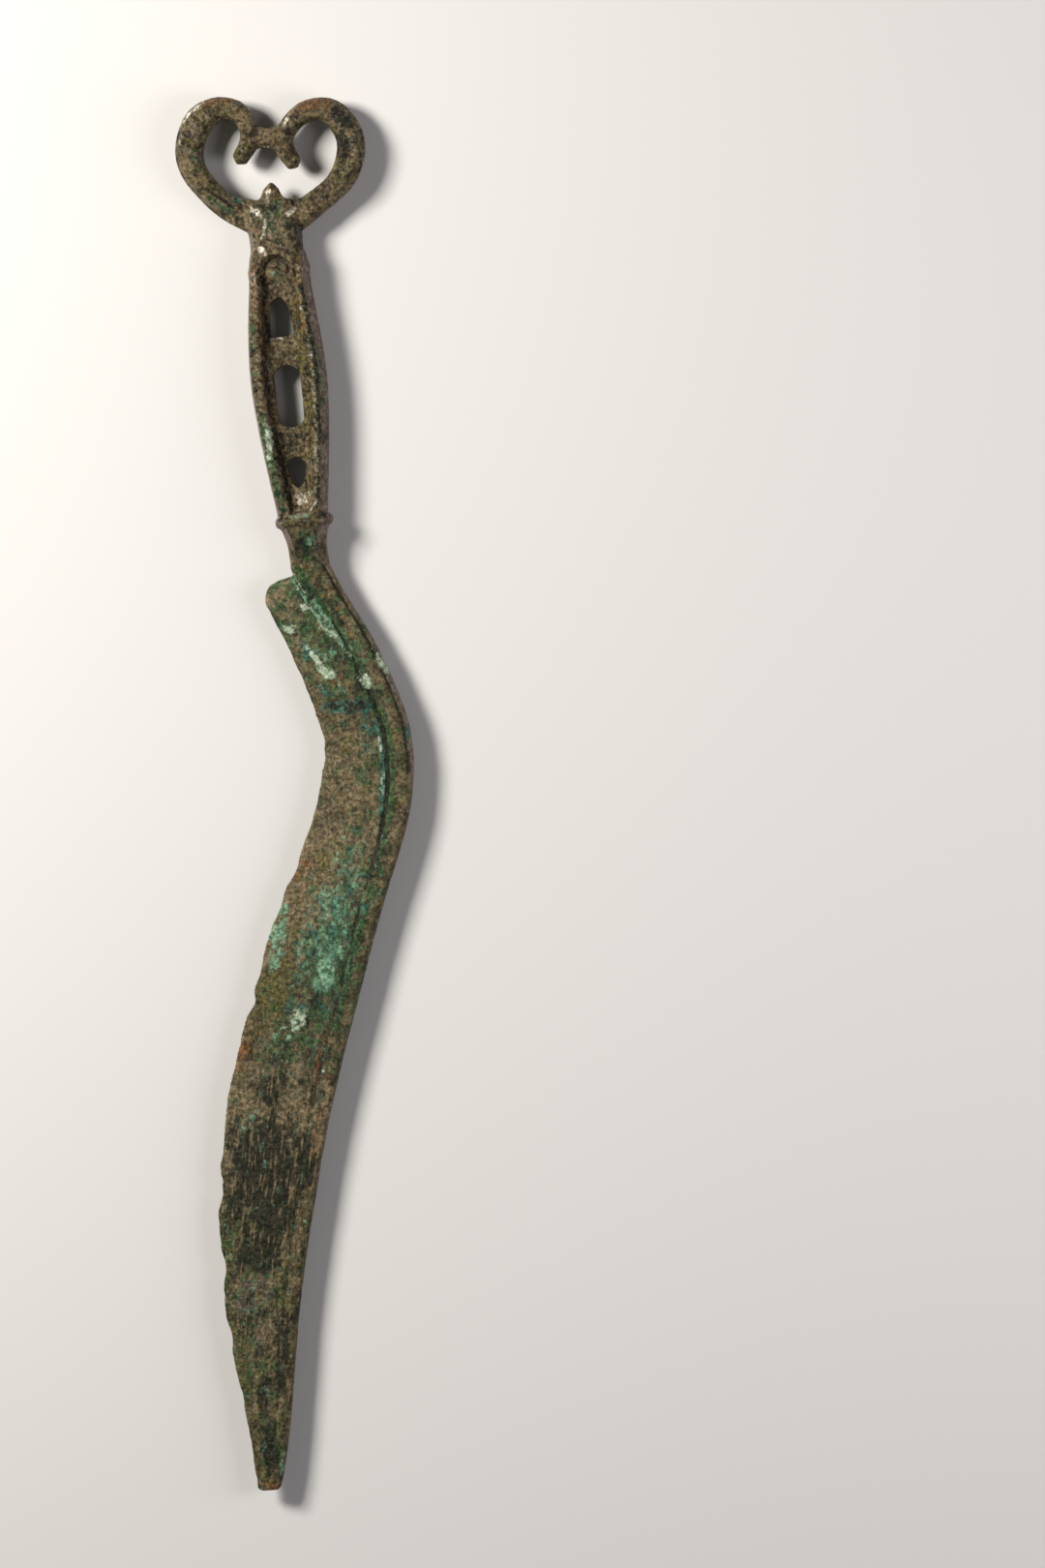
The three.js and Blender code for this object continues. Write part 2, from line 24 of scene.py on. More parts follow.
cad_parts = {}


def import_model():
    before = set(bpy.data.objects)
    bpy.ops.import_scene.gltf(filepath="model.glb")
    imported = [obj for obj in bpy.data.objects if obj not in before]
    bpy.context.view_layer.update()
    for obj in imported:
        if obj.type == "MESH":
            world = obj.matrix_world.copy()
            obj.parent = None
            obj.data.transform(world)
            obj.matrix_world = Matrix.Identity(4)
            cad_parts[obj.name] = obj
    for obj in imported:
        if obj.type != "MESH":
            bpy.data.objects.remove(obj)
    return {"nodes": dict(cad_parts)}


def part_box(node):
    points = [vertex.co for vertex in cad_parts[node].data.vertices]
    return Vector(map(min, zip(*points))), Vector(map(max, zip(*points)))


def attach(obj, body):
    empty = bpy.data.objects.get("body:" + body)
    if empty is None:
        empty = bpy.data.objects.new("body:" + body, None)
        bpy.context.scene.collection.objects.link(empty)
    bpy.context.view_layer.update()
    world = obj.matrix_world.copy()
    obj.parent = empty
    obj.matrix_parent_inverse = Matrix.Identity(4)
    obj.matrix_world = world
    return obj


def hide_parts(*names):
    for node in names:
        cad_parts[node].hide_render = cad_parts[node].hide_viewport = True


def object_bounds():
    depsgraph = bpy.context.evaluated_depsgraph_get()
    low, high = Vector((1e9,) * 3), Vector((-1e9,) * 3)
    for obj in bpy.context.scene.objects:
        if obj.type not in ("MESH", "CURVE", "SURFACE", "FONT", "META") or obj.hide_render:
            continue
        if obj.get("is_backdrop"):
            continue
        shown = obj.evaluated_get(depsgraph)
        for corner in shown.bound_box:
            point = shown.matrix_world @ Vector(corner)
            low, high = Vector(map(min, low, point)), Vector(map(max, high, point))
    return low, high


LOG = logging.getLogger("bronze_knife")

MM = 0.001
FRAME_PIXELS = (1080, 1620)
CUT_SLACK = 1e-4
TINY = 1e-6

Array = np.ndarray
Colour = tuple[int, int, int]
Place = tuple[float, float]
Span = tuple[float, float]


def smooth_ramp(values: Array, low: float, high: float) -> Array:
    """Gives 0 below low and 1 above high, with a smooth rise between them."""
    share = np.clip((values - low) / (high - low), 0.0, 1.0)
    return share * share * (3.0 - 2.0 * share)


def rise(levels: Array, start: float, span: Span) -> Array:
    """Gives 0 below a span and 1 above it, where the span counts from the start level."""
    return smooth_ramp(levels, start + span[0], start + span[1])


def bump(offsets: Array, half_width: float) -> Array:
    """Gives 1 at no offset, and next to nothing beyond twice the half width."""
    gap = offsets / half_width
    return np.exp(-gap * gap)


def read_all(items: bpy.types.bpy_prop_collection, name: str, width: int = 1,
             kind: type = np.float32) -> Array:
    """Reads one property of every item.

    Args:
        items: A mesh's points, edges, faces or the like.
        name: The property.
        width: How many numbers each item holds.
        kind: The type of the numbers.

    Returns:
        A row for each item, or a number for each where the width is 1.
    """
    values = np.empty(len(items) * width, kind)
    items.foreach_get(name, values)
    return values.reshape(-1, width) if width > 1 else values


class LatticeNoise:
    """Smooth random values in space, the same in every run."""

    TABLE = 4096
    SPREAD = (73856093, 19349663, 83492791)
    LAYER_SHIFT = 31.7

    def __init__(self, seed: int) -> None:
        """Draws the table of values from its seed."""
        self.values = np.random.default_rng(seed).uniform(-1.0, 1.0, self.TABLE)

    @classmethod
    def rows(cls, cells: Array) -> Array:
        """Gives each whole-numbered lattice point its row in a table of random values."""
        return np.bitwise_xor.reduce(cells * np.array(cls.SPREAD), axis=1) & (cls.TABLE - 1)

    def at(self, points: Array, size: float) -> Array:
        """Reads the noise.

        Args:
            points: Places as rows of three numbers.
            size: Width of a feature, in the same unit.

        Returns:
            One value from -1 to 1 for each place.
        """
        place = points / size
        cell = np.floor(place).astype(np.int64)
        part = place - cell
        part = part * part * (3.0 - 2.0 * part)
        total = np.zeros(len(points))
        for corner in np.ndindex(2, 2, 2):
            step = np.array(corner)
            weight = np.prod(np.where(step == 1, part, 1.0 - part), axis=1)
            total += weight * self.values[self.rows(cell + step)]
        return total

    def layered(self, points: Array, size: float, octaves: int) -> Array:
        """Sums noise at halving sizes and strengths.

        Args:
            points: Places as rows of three numbers.
            size: Width of the widest features, in the same unit.
            octaves: How many noises are summed.

        Returns:
            One value from about -1 to 1 for each place.
        """
        total = np.zeros(len(points))
        for octave in range(octaves):
            total += self.at(points + self.LAYER_SHIFT * octave, size / 2**octave) / 2**octave
        return total / (2.0 - 0.5 ** (octaves - 1))


def cell_distance(points: Array, size: float, seed: int) -> Array:
    """Finds how far each place is from the nearest of many scattered points.

    Args:
        points: Places as rows of three numbers.
        size: Mean gap between the scattered points.
        seed: Chooses the scatter.

    Returns:
        Distances as shares of the gap.
    """
    scatter = np.random.default_rng(seed).random((LatticeNoise.TABLE, 3))
    place = points / size
    cell = np.floor(place).astype(np.int64)
    best = np.full(len(points), np.inf)
    for corner in np.ndindex(3, 3, 3):
        near = cell + np.array(corner) - 1
        target = near + scatter[LatticeNoise.rows(near)]
        best = np.minimum(best, np.linalg.norm(place - target, axis=1))
    return best


@dataclass
class Datum:
    """Turns places in the frame into millimetres from the middle of the collar, and back."""

    middle: Vector = field(default_factory=Vector)

    @classmethod
    def from_collar(cls) -> "Datum":
        """Reads the middle of the collar from the frame."""
        low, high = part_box("collar")
        return cls((low + high) / 2)

    def to_mm(self, node: bpy.types.Object) -> Array:
        """Reads a node's points as millimetres from the datum."""
        points = read_all(node.data.vertices, "co", 3).astype(float)
        return (points - np.array(self.middle)) / MM

    def box(self, node: str) -> tuple[Array, Array]:
        """Gives a node's lowest and highest corners in millimetres from the datum."""
        low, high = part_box(node)
        return np.array(low - self.middle) / MM, np.array(high - self.middle) / MM

    def to_frame(self) -> Matrix:
        """Gives the matrix that takes millimetres from the datum to the frame's metres."""
        return Matrix.Translation(self.middle) @ Matrix.Scale(MM, 4)


class Side(Enum):
    """A side of the knife: where its cutting edge or its back is."""

    EDGE = -1
    BACK = 1


@dataclass
class Line:
    """A line along the hilt or the blade: x at each level y."""

    levels: Array
    places: Array

    @classmethod
    def along(cls, points: Array, side: Side) -> "Line":
        """Follows one side of a node's points, row by row.

        Args:
            points: The node's points in millimetres.
            side: EDGE for the row's lowest x, BACK for its highest.

        Returns:
            The line through one point of each row.
        """
        levels, row = np.unique(np.round(points[:, 1], 2), return_inverse=True)
        places = np.full(len(levels), -np.inf)
        np.maximum.at(places, row, side.value * points[:, 0])
        return cls(levels, side.value * places)

    def at(self, levels: Array) -> Array:
        """Reads x at any levels."""
        return np.interp(levels, self.levels, self.places)


class Tone(Enum):
    """A colour of the patina, except the last, which is painted highlight. Each is a layer that a
    material lays where its mask asks for it.
    """

    TAN = "tan"
    RUST = "rust"
    OLIVE = "olive"
    GREEN = "green"
    TEAL = "teal"
    MINT = "mint"
    CRUST = "crust"
    DARK = "dark"
    GREY = "grey"
    # Painted highlight: a pale, glossy colour laid where ridges, bevels, stubs and the peg catch
    # the light.
    BRIGHT = "bright"


@dataclass(frozen=True)
class BladePatch:
    """A patch of one tone on the blade.

    down and half_length are millimetres from the neck. across and half_width are shares of the
    way from the cutting edge to the back. lean is how much further across it is where it ends.
    """

    down: float
    across: float
    half_length: float
    half_width: float
    strength: float = 1.0
    lean: float = 0.0

    def reach(self, down: Array, across: Array) -> Array:
        """Measures each point's reach.

        Args:
            down: The points' distances down the blade.
            across: Their shares of the way across it.

        Returns:
            0 at the patch's middle and 1 at its rim.
        """
        along = (down - self.down) / self.half_length
        aside = (across - self.across - self.lean * along) / self.half_width
        return np.hypot(along, aside)


@dataclass(frozen=True)
class HiltPatch:
    """A patch of one tone on the hilt, in millimetres from the middle of the collar.

    turn is how many degrees it is turned to the left.
    """

    aside: float
    up: float
    half_width: float
    half_length: float
    strength: float = 1.0
    turn: float = 0.0

    def reach(self, points: Array) -> Array:
        """Measures each point's reach.

        Args:
            points: Places as rows of three numbers.

        Returns:
            0 at the patch's middle and 1 at its rim.
        """
        x = points[:, 0] - self.aside
        y = points[:, 1] - self.up
        cosine = math.cos(math.radians(self.turn))
        sine = math.sin(math.radians(self.turn))
        across = (x * cosine + y * sine) / self.half_width
        along = (y * cosine - x * sine) / self.half_length
        return np.hypot(across, along)


class Guide(Enum):
    """A line of the blade or the grip that a streak follows."""

    STEP = "step"
    BACK = "back"
    RAIL_EDGE = "rail_edge"
    RAIL_BACK = "rail_back"


@dataclass(frozen=True)
class Streak:
    """A streak of one tone along a line of the blade or the grip.

    offset is how far it lies from the line towards the back. start and end are distances down the
    blade from the neck, or up the grip from the collar. All sizes are millimetres.
    """

    END = 1.5

    guide: Guide
    offset: float
    half_width: float
    start: float
    end: float
    strength: float = 1.0

    def reach(self, along: Array, from_guide: Array) -> Array:
        """Measures each point's reach.

        Args:
            along: The points' places along the guide.
            from_guide: Their distances from the guide.

        Returns:
            0 on the streak's middle line and 1 at its rim.
        """
        past_end = np.maximum(np.maximum(self.start - along, along - self.end), 0.0)
        return np.hypot((from_guide - self.offset) / self.half_width, past_end / self.END)


def by_tone(kind: type, rows: dict[Tone, tuple[tuple, ...]]) -> dict[Tone, tuple]:
    """Makes one patch or streak from each row of values, tone by tone."""
    return {tone: tuple(kind(*row) for row in some) for tone, some in rows.items()}


# Each row is guide, offset, half_width, start and end, then the strength if it isn't 1.
STREAKS = by_tone(Streak, {
    Tone.TAN: (
        (Guide.RAIL_EDGE, 1.7, 1.1, 20, 50, 0.4),
    ),
    Tone.RUST: (
        (Guide.RAIL_EDGE, 3.3, 0.6, 10, 49, 0.5), (Guide.STEP, 2.2, 0.9, 1, 15, 0.6),
        (Guide.STEP, -1, 0.5, 95, 104, 0.7),
    ),
    Tone.GREEN: (
        (Guide.RAIL_EDGE, 1.8, 0.9, 3, 22, 0.6), (Guide.STEP, -0.3, 1.3, 1, 30, 0.9),
        (Guide.STEP, 0.4, 0.9, 30, 60, 0.8), (Guide.STEP, 0.8, 0.8, 66, 92, 0.7),
    ),
    Tone.TEAL: (
        (Guide.STEP, -1.3, 0.6, 33, 50, 0.7),
    ),
    Tone.MINT: (
        (Guide.STEP, -2.5, 0.3, 1, 12, 0.75), (Guide.STEP, -1, 0.5, 8, 16, 0.8),
    ),
    Tone.CRUST: (
        (Guide.RAIL_BACK, -2.3, 0.5, 12, 42, 0.4), (Guide.STEP, -1.7, 0.26, 0.5, 10.5, 0.7),
        (Guide.STEP, -1.4, 0.5, 36.5, 37.5, 0.75), (Guide.STEP, -1.2, 0.4, 43, 46, 0.6),
    ),
    Tone.DARK: (
        (Guide.BACK, -1, 0.3, 0, 42, 0.9), (Guide.RAIL_BACK, -1.6, 0.3, 3, 46, 0.85),
        # The first streak on the next line, along the edge rail at 3.4, is painted shade in the
        # groove under the rail's rim.
        (Guide.RAIL_EDGE, 3.4, 0.45, 3, 49, 0.5), (Guide.STEP, -0.4, 0.5, 12, 60, 0.75),
        (Guide.STEP, -0.4, 0.4, 60, 182, 0.6),
    ),
    # Painted highlights along the rails' rims.
    Tone.BRIGHT: (
        (Guide.RAIL_BACK, -2.5, 0.7, 4, 44, 0.3), (Guide.RAIL_EDGE, 1.7, 0.6, 20, 50, 0.3),
    ),
})

# Each row is down, across, half_length and half_width, then strength and lean if they matter.
BLADE_PATCHES = by_tone(BladePatch, {
    Tone.TAN: (
        (6, 0.22, 3.4, 0.2), (9, 0.86, 9, 0.14, 0.8), (15, 0.25, 1.6, 0.18, 0.9),
        (42, 0.3, 9, 0.3, 0.6), (46, 0.5, 24, 0.8, 0.2), (54, 0.5, 10, 0.4, 0.6),
        (66, 0.22, 13, 0.27, 1.35), (108, 0.4, 9, 0.6, 0.9), (108.5, 0.42, 3, 0.14, 0.7),
        (115.5, 0.5, 4, 0.16, 0.75), (116, 0.12, 5, 0.12, 0.7), (126, 0.5, 2.5, 0.12, 0.65),
        (143, 0.86, 5, 0.1, 0.7), (156, 0.4, 36, 0.9, 0.4), (165, 0.58, 5, 0.14, 0.7),
        (168, 0.72, 6, 0.14, 0.7),
    ),
    Tone.RUST: (
        (25.5, 0.48, 4.5, 0.2, 0.45), (28.5, 0.04, 4, 0.08, 0.5), (62, 0.12, 7, 0.14, 0.4),
        (75.3, 0.14, 1.2, 0.09, 0.7), (95, 0.06, 6, 0.1, 0.6), (99.5, 0.79, 5, 0.03, 0.8),
        (113, 0.93, 6, 0.05, 0.5), (183.6, 0.6, 0.8, 0.6, 0.9),
    ),
    Tone.OLIVE: (
        (36, 0.25, 4, 0.15, 0.6), (46, 0.5, 24, 0.8, 0.3), (60, 0.3, 9, 0.25, 0.35),
        (76, 0.24, 10, 0.2, 0.5), (84, 0.25, 8, 0.2, 0.7), (156, 0.4, 46, 1, 0.4),
        (160, 0.12, 9, 0.12, 0.8),
    ),
    Tone.GREEN: (
        (3.2, 0.1, 2.2, 0.1, 0.8), (10, 0.76, 4.5, 0.05, 0.8), (12.5, 0.25, 3, 0.3, 0.6),
        (16, 0.45, 18, 0.7, 0.55), (17, 0.77, 3, 0.06, 0.9), (18, 0.5, 5, 0.2, 0.6),
        (42, 0.55, 14, 0.4, 0.35), (56, 0.58, 8, 0.2, 0.45), (74, 0.81, 9, 0.04, 0.9),
        (77, 0.62, 13, 0.26, 0.8), (78, 0.64, 26, 0.42, 0.5), (96, 0.5, 7, 0.3, 0.5),
        (150, 0.3, 40, 0.8, 0.4), (178, 0.85, 4, 0.2, 0.6),
    ),
    Tone.TEAL: (
        (7, 0.5, 3.5, 0.14, 0.6), (17.5, 0.24, 2.2, 0.12, 0.8), (25, 0.2, 1.8, 0.1, 0.7),
        (29, 0.4, 1.5, 0.26, 1.2), (35, 0.55, 5, 0.1, 0.55), (36.5, 0.95, 2.6, 0.05, 0.7),
        (41, 0.67, 6.5, 0.022, 1), (76, 0.6, 24, 0.34, 0.5), (129.2, 0.72, 1.2, 0.05, 0.9),
        (131.7, 0.82, 1.2, 0.05, 0.7),
    ),
    Tone.MINT: (
        (18, 0.5, 14, 0.5, 0.3), (64.5, 0.47, 4.5, 0.018, 0.8, -0.02),
        (68.2, 0.07, 1.6, 0.06, 0.9), (71, 0.5, 10, 0.07, 0.85), (72, 0.56, 18, 0.3, 0.58),
        (73, 0.09, 3.2, 0.09), (77.5, 0.7, 2.5, 0.06, 0.9), (78, 0.14, 2.6, 0.07),
        (80.5, 0.64, 6, 0.11, 1.05), (93.2, 0.33, 0.8, 0.05, 0.8), (94, 0.46, 0.9, 0.04, 0.9),
        (110, 0.4, 14, 0.7, 0.24), (140, 0.5, 46, 1, 0.18), (147, 0.35, 5, 0.25, 0.4),
        (180, 0.97, 3, 0.12, 0.7),
    ),
    Tone.CRUST: (
        (8, 0.44, 1.1, 0.07, 1.1), (12, 0.15, 1.3, 0.1, 1.1), (13.8, 0.58, 2.6, 0.08, 1.1, 0.04),
        (18.7, 0.67, 1.8, 0.04, 0.9, 0.02), (18.8, 0.28, 3, 0.06, 1.3, 0.03),
        (20.8, 0.96, 3, 0.05, 1.2), (21.7, 0.32, 1.5, 0.08, 1.3), (24, 0.72, 2.4, 0.08, 1.3),
        (37, 0.67, 1, 0.018, 0.8), (44.5, 0.68, 1.6, 0.018, 0.9), (90.3, 0.5, 2.6, 0.1, 0.9),
        (91.8, 0.4, 0.7, 0.04, 0.9), (101.5, 0.86, 1.2, 0.03),
    ),
    Tone.DARK: (
        (6.2, 0.52, 2.6, 0.12, 0.75), (9, 0.76, 11, 0.07, 0.6), (20, 0.45, 10, 0.4, 0.3),
        (26.5, 0.73, 2.4, 0.07, 0.8), (28.4, 0.25, 0.8, 0.1, 0.8), (29, 0.47, 1.2, 0.13, 1),
        (61, 0.8, 4, 0.035, 0.9), (86.5, 0.58, 2.4, 0.1, 0.7), (87, 0.83, 6, 0.03, 0.8),
        (97.5, 0.86, 3.5, 0.03, 0.8), (104, 0.34, 4, 0.2, 0.7), (118, 0.82, 11, 0.07, 1.2),
        (121, 0.45, 13, 0.34, 1.35), (124, 0.5, 34, 0.9, 0.52), (136, 0.5, 5, 0.34, 1.25),
        (150, 0.86, 1.6, 0.08, 0.8), (158, 0.7, 34, 0.7, 0.42), (158, 0.83, 7, 0.08, 1.1),
        (166, 0.42, 4, 0.1, 0.9), (176.5, 0.55, 4, 0.3, 0.7),
    ),
    Tone.GREY: (
        (145.5, 0.36, 6, 0.25, 0.8), (155, 0.4, 4, 0.18, 0.5),
    ),
})

# Each row is aside, up, half_width and half_length, then strength and turn if they matter.
HILT_PATCHES = by_tone(HiltPatch, {
    Tone.TAN: (
        (0.3, 2.6, 4, 1, 0.7), (-2, 3, 1.6, 1.2, 0.6), (-0.8, 4.4, 2.8, 2, 0.85),
        (0.3, 48.6, 2, 2, 0.5), (0.1, 58.4, 1.8, 2.6, 0.6), (-7.7, 63.3, 2, 1.8, 0.7),
        (-12.5, 79, 5, 6, 0.25), (-14.4, 81.3, 2.2, 2.6, 0.6),
    ),
    Tone.RUST: (
        (4.4, 32, 1.8, 22, 0.4), (-4.6, 42, 1, 10, 0.4), (-17.2, 70, 0.9, 6, 0.5, 25),
        (5.8, 71.5, 1.6, 2, 0.3), (-6, 73, 1.4, 2, 0.3), (0.3, 77.6, 2.6, 2, 0.2),
        (11.5, 83.3, 4.5, 1.8, 0.7), (-9.5, 86, 4.5, 1.1, 0.9),
    ),
    Tone.OLIVE: (
        (3.2, 25.7, 1.2, 9, 0.6), (4.4, 30, 1.8, 26, 0.5), (4, 42, 1.4, 6, 0.7),
        (-10, 72, 6, 10, 0.3),
    ),
    Tone.GREEN: (
        (0.3, -5, 1.4, 3.4, 0.9), (-4.2, 9.5, 1, 3.5, 0.6), (6.3, 28, 1.2, 9, 0.55),
        (-6.2, 36, 1, 12, 0.4), (0.2, 49.6, 1.6, 1.6, 0.3), (-0.4, 60.5, 3, 4.5, 0.5),
        (-9.6, 64.4, 0.7, 4, 0.8, 52), (8, 66.5, 4, 1, 0.7, 32), (12.5, 74, 1, 4, 0.7),
        (-14, 74.5, 1.5, 2.5, 0.5), (-6, 81, 2.5, 0.8, 0.8, -50),
    ),
    Tone.TEAL: (
        (2.2, -5.5, 0.9, 3.2, 0.5), (2.5, 60.5, 0.6, 4, 0.6), (-7, 66, 3, 0.9, 0.6, -30),
    ),
    Tone.MINT: (
        (1.1, -4.2, 0.5, 0.8, 0.9), (-0.4, 1, 3.2, 0.9, 0.6), (-5.1, 14.5, 1.1, 5.5, 0.9, -4),
        (-1, 50.1, 0.6, 0.6, 1), (10, 68.5, 2, 0.7, 0.7, 38),
    ),
    Tone.CRUST: (
        (0.3, 1.1, 3.4, 0.7, 0.45), (-0.6, 5, 1.1, 0.8, 0.7), (2, 5.2, 1, 0.7, 0.8),
        (-5, 15.5, 0.9, 4.6, 1.2, -4), (-1, 49.8, 1.2, 0.8, 0.6),
    ),
    Tone.DARK: (
        (0, -5, 3.4, 5, 0.5), (4.3, 0.7, 0.9, 0.7, 0.9), (-4.2, 0.8, 0.9, 0.7, 0.9),
        (0, 16, 2.6, 2.4, 0.6), (3.2, 25.7, 1.2, 9, 0.4), (-6.7, 28, 0.8, 8, 0.35),
        (4.4, 31, 1.8, 20, 0.5), (-3.4, 40, 0.5, 5, 0.9), (4, 41, 1.4, 7, 0.5),
        (4.6, 58, 1.6, 5, 0.45), (0.6, 62.5, 2, 2, 0.4), (-10.3, 66.5, 0.5, 5, 0.9, 50),
        (16.4, 77, 2, 8, 0.6),
    ),
    Tone.GREY: (
        (-13, 76, 4, 7, 0.35), (-14.5, 77, 3, 6, 0.45),
    ),
    # Painted highlights: pale glossy spots and lines where the ridges, bevels, stubs and peg catch
    # the light.
    Tone.BRIGHT: (
        (2.9, 2.9, 0.35, 1.6, 1.3, -41), (0.3, 4.4, 1.2, 1.3, 0.95),
        (-0.5, 18.7, 0.3, 2.4, 0.8, 90), (-0.7, 36.9, 0.3, 2.4, 0.9, 90),
        (-1.8, 53.8, 1.4, 0.4, 0.8, 90), (-2.6, 55, 1.1, 0.8, 1.2),
        (-1.5, 59.2, 0.6, 2.2, 1, -15), (4.2, 62, 0.6, 1.6, 0.9, -60),
        (-2.5, 62.4, 0.8, 2.6, 1.1, 45), (-0.3, 66, 0.7, 1.8, 1), (1.4, 75.6, 0.4, 2, 0.8, 90),
        (-4.7, 76.4, 0.5, 1.8, 0.9), (-17, 78.2, 0.5, 2.6, 0.8, -12),
        (5.2, 80.6, 0.5, 2.2, 0.9, -24), (-14.2, 84.1, 0.5, 4.8, 1.2, -49),
    ),
})


@dataclass(frozen=True)
class Nick:
    """A place where the cutting edge has corroded back, in millimetres."""

    down: float
    depth: float
    half_length: float


NICKS = (
    Nick(37.6, 0.4, 4.0), Nick(52.6, 0.4, 4.0), Nick(60.6, 0.8, 2.6), Nick(67.6, 0.6, 2.2),
    Nick(80.0, 0.5, 4.0), Nick(86.4, 1.0, 1.8), Nick(113.0, 0.5, 4.0), Nick(123.0, 0.8, 3.0),
    Nick(138.6, 1.0, 3.0), Nick(152.6, 0.6, 2.4), Nick(164.6, 0.4, 3.0),
)


@dataclass(frozen=True)
class Ridge:
    """A soft ridge on both faces of the hilt, or a groove where its height is below 0."""

    start: Place
    end: Place
    half_width: float
    height: float

    def height_at(self, points: Array) -> Array:
        """Measures the ridge.

        Args:
            points: Places as rows of three numbers.

        Returns:
            The ridge's height at each place.
        """
        start = np.array(self.start)
        way = np.array(self.end) - start
        offset = points[:, :2] - start
        share = np.clip(offset @ way / (way @ way), 0.0, 1.0)
        gap = np.linalg.norm(offset - share[:, None] * way, axis=1)
        return self.height * bump(gap, self.half_width)


THROAT_RIDGES = (
    Ridge((-4.2, 64.0), (-0.9, 60.9), 0.8, 0.24),
    Ridge((-0.9, 60.9), (-1.8, 57.6), 0.6, 0.18),
    Ridge((-1.8, 57.6), (-2.7, 55.0), 0.7, 0.2),
    Ridge((1.4, 60.6), (5.0, 62.8), 0.7, 0.22),
    Ridge((-3.6, 53.9), (0.6, 54.1), 0.6, 0.22),
    Ridge((-8.8, 67.6), (-5.4, 64.2), 0.4, -0.16),
    Ridge((-1.2, 62.6), (1.6, 62.6), 0.5, -0.14),
)


@dataclass(frozen=True)
class Section:
    """A bar's section: shares of its greatest height at shares of the way across it."""

    places: tuple[float, ...]
    heights: tuple[float, ...]

    def at(self, places: Array) -> Array:
        """Reads the section at any places across the bar."""
        return np.interp(places, self.places, self.heights)


@dataclass(frozen=True)
class Unevenness:
    """Random swelling and sinking.

    It has a strength, the width of its widest features, and a number of ever finer octaves.
    """

    strength: float
    size: float
    octaves: int

    def at(self, noise: LatticeNoise, points: Array) -> Array:
        """Reads the unevenness at each point."""
        return self.strength * noise.layered(points, self.size, self.octaves)


@dataclass(frozen=True)
class Groove:
    """A groove or a crown along a line. offset is how far it lies from it towards the back."""

    offset: float
    half_width: float
    depth: float

    def mark(self, x: Array, line: Array) -> Array:
        """Gives 1 in the groove's middle and 0 beside it, for points at x beside a line's x."""
        return bump(x - (line + self.offset), self.half_width)


@dataclass(frozen=True)
class Fillet:
    """A corner between two pieces that is filled softly, round an upright line through a place."""

    ROUNDS = 14
    CORE = 0.4
    PULL = 0.5

    place: Place
    radius: float

    def share(self, points: Array) -> Array:
        """Gives how far each point moves to the middle of its neighbours in one round."""
        distance = np.linalg.norm(points[:, :2] - np.array(self.place), axis=1)
        return self.PULL * (1.0 - smooth_ramp(distance, self.CORE * self.radius, self.radius))


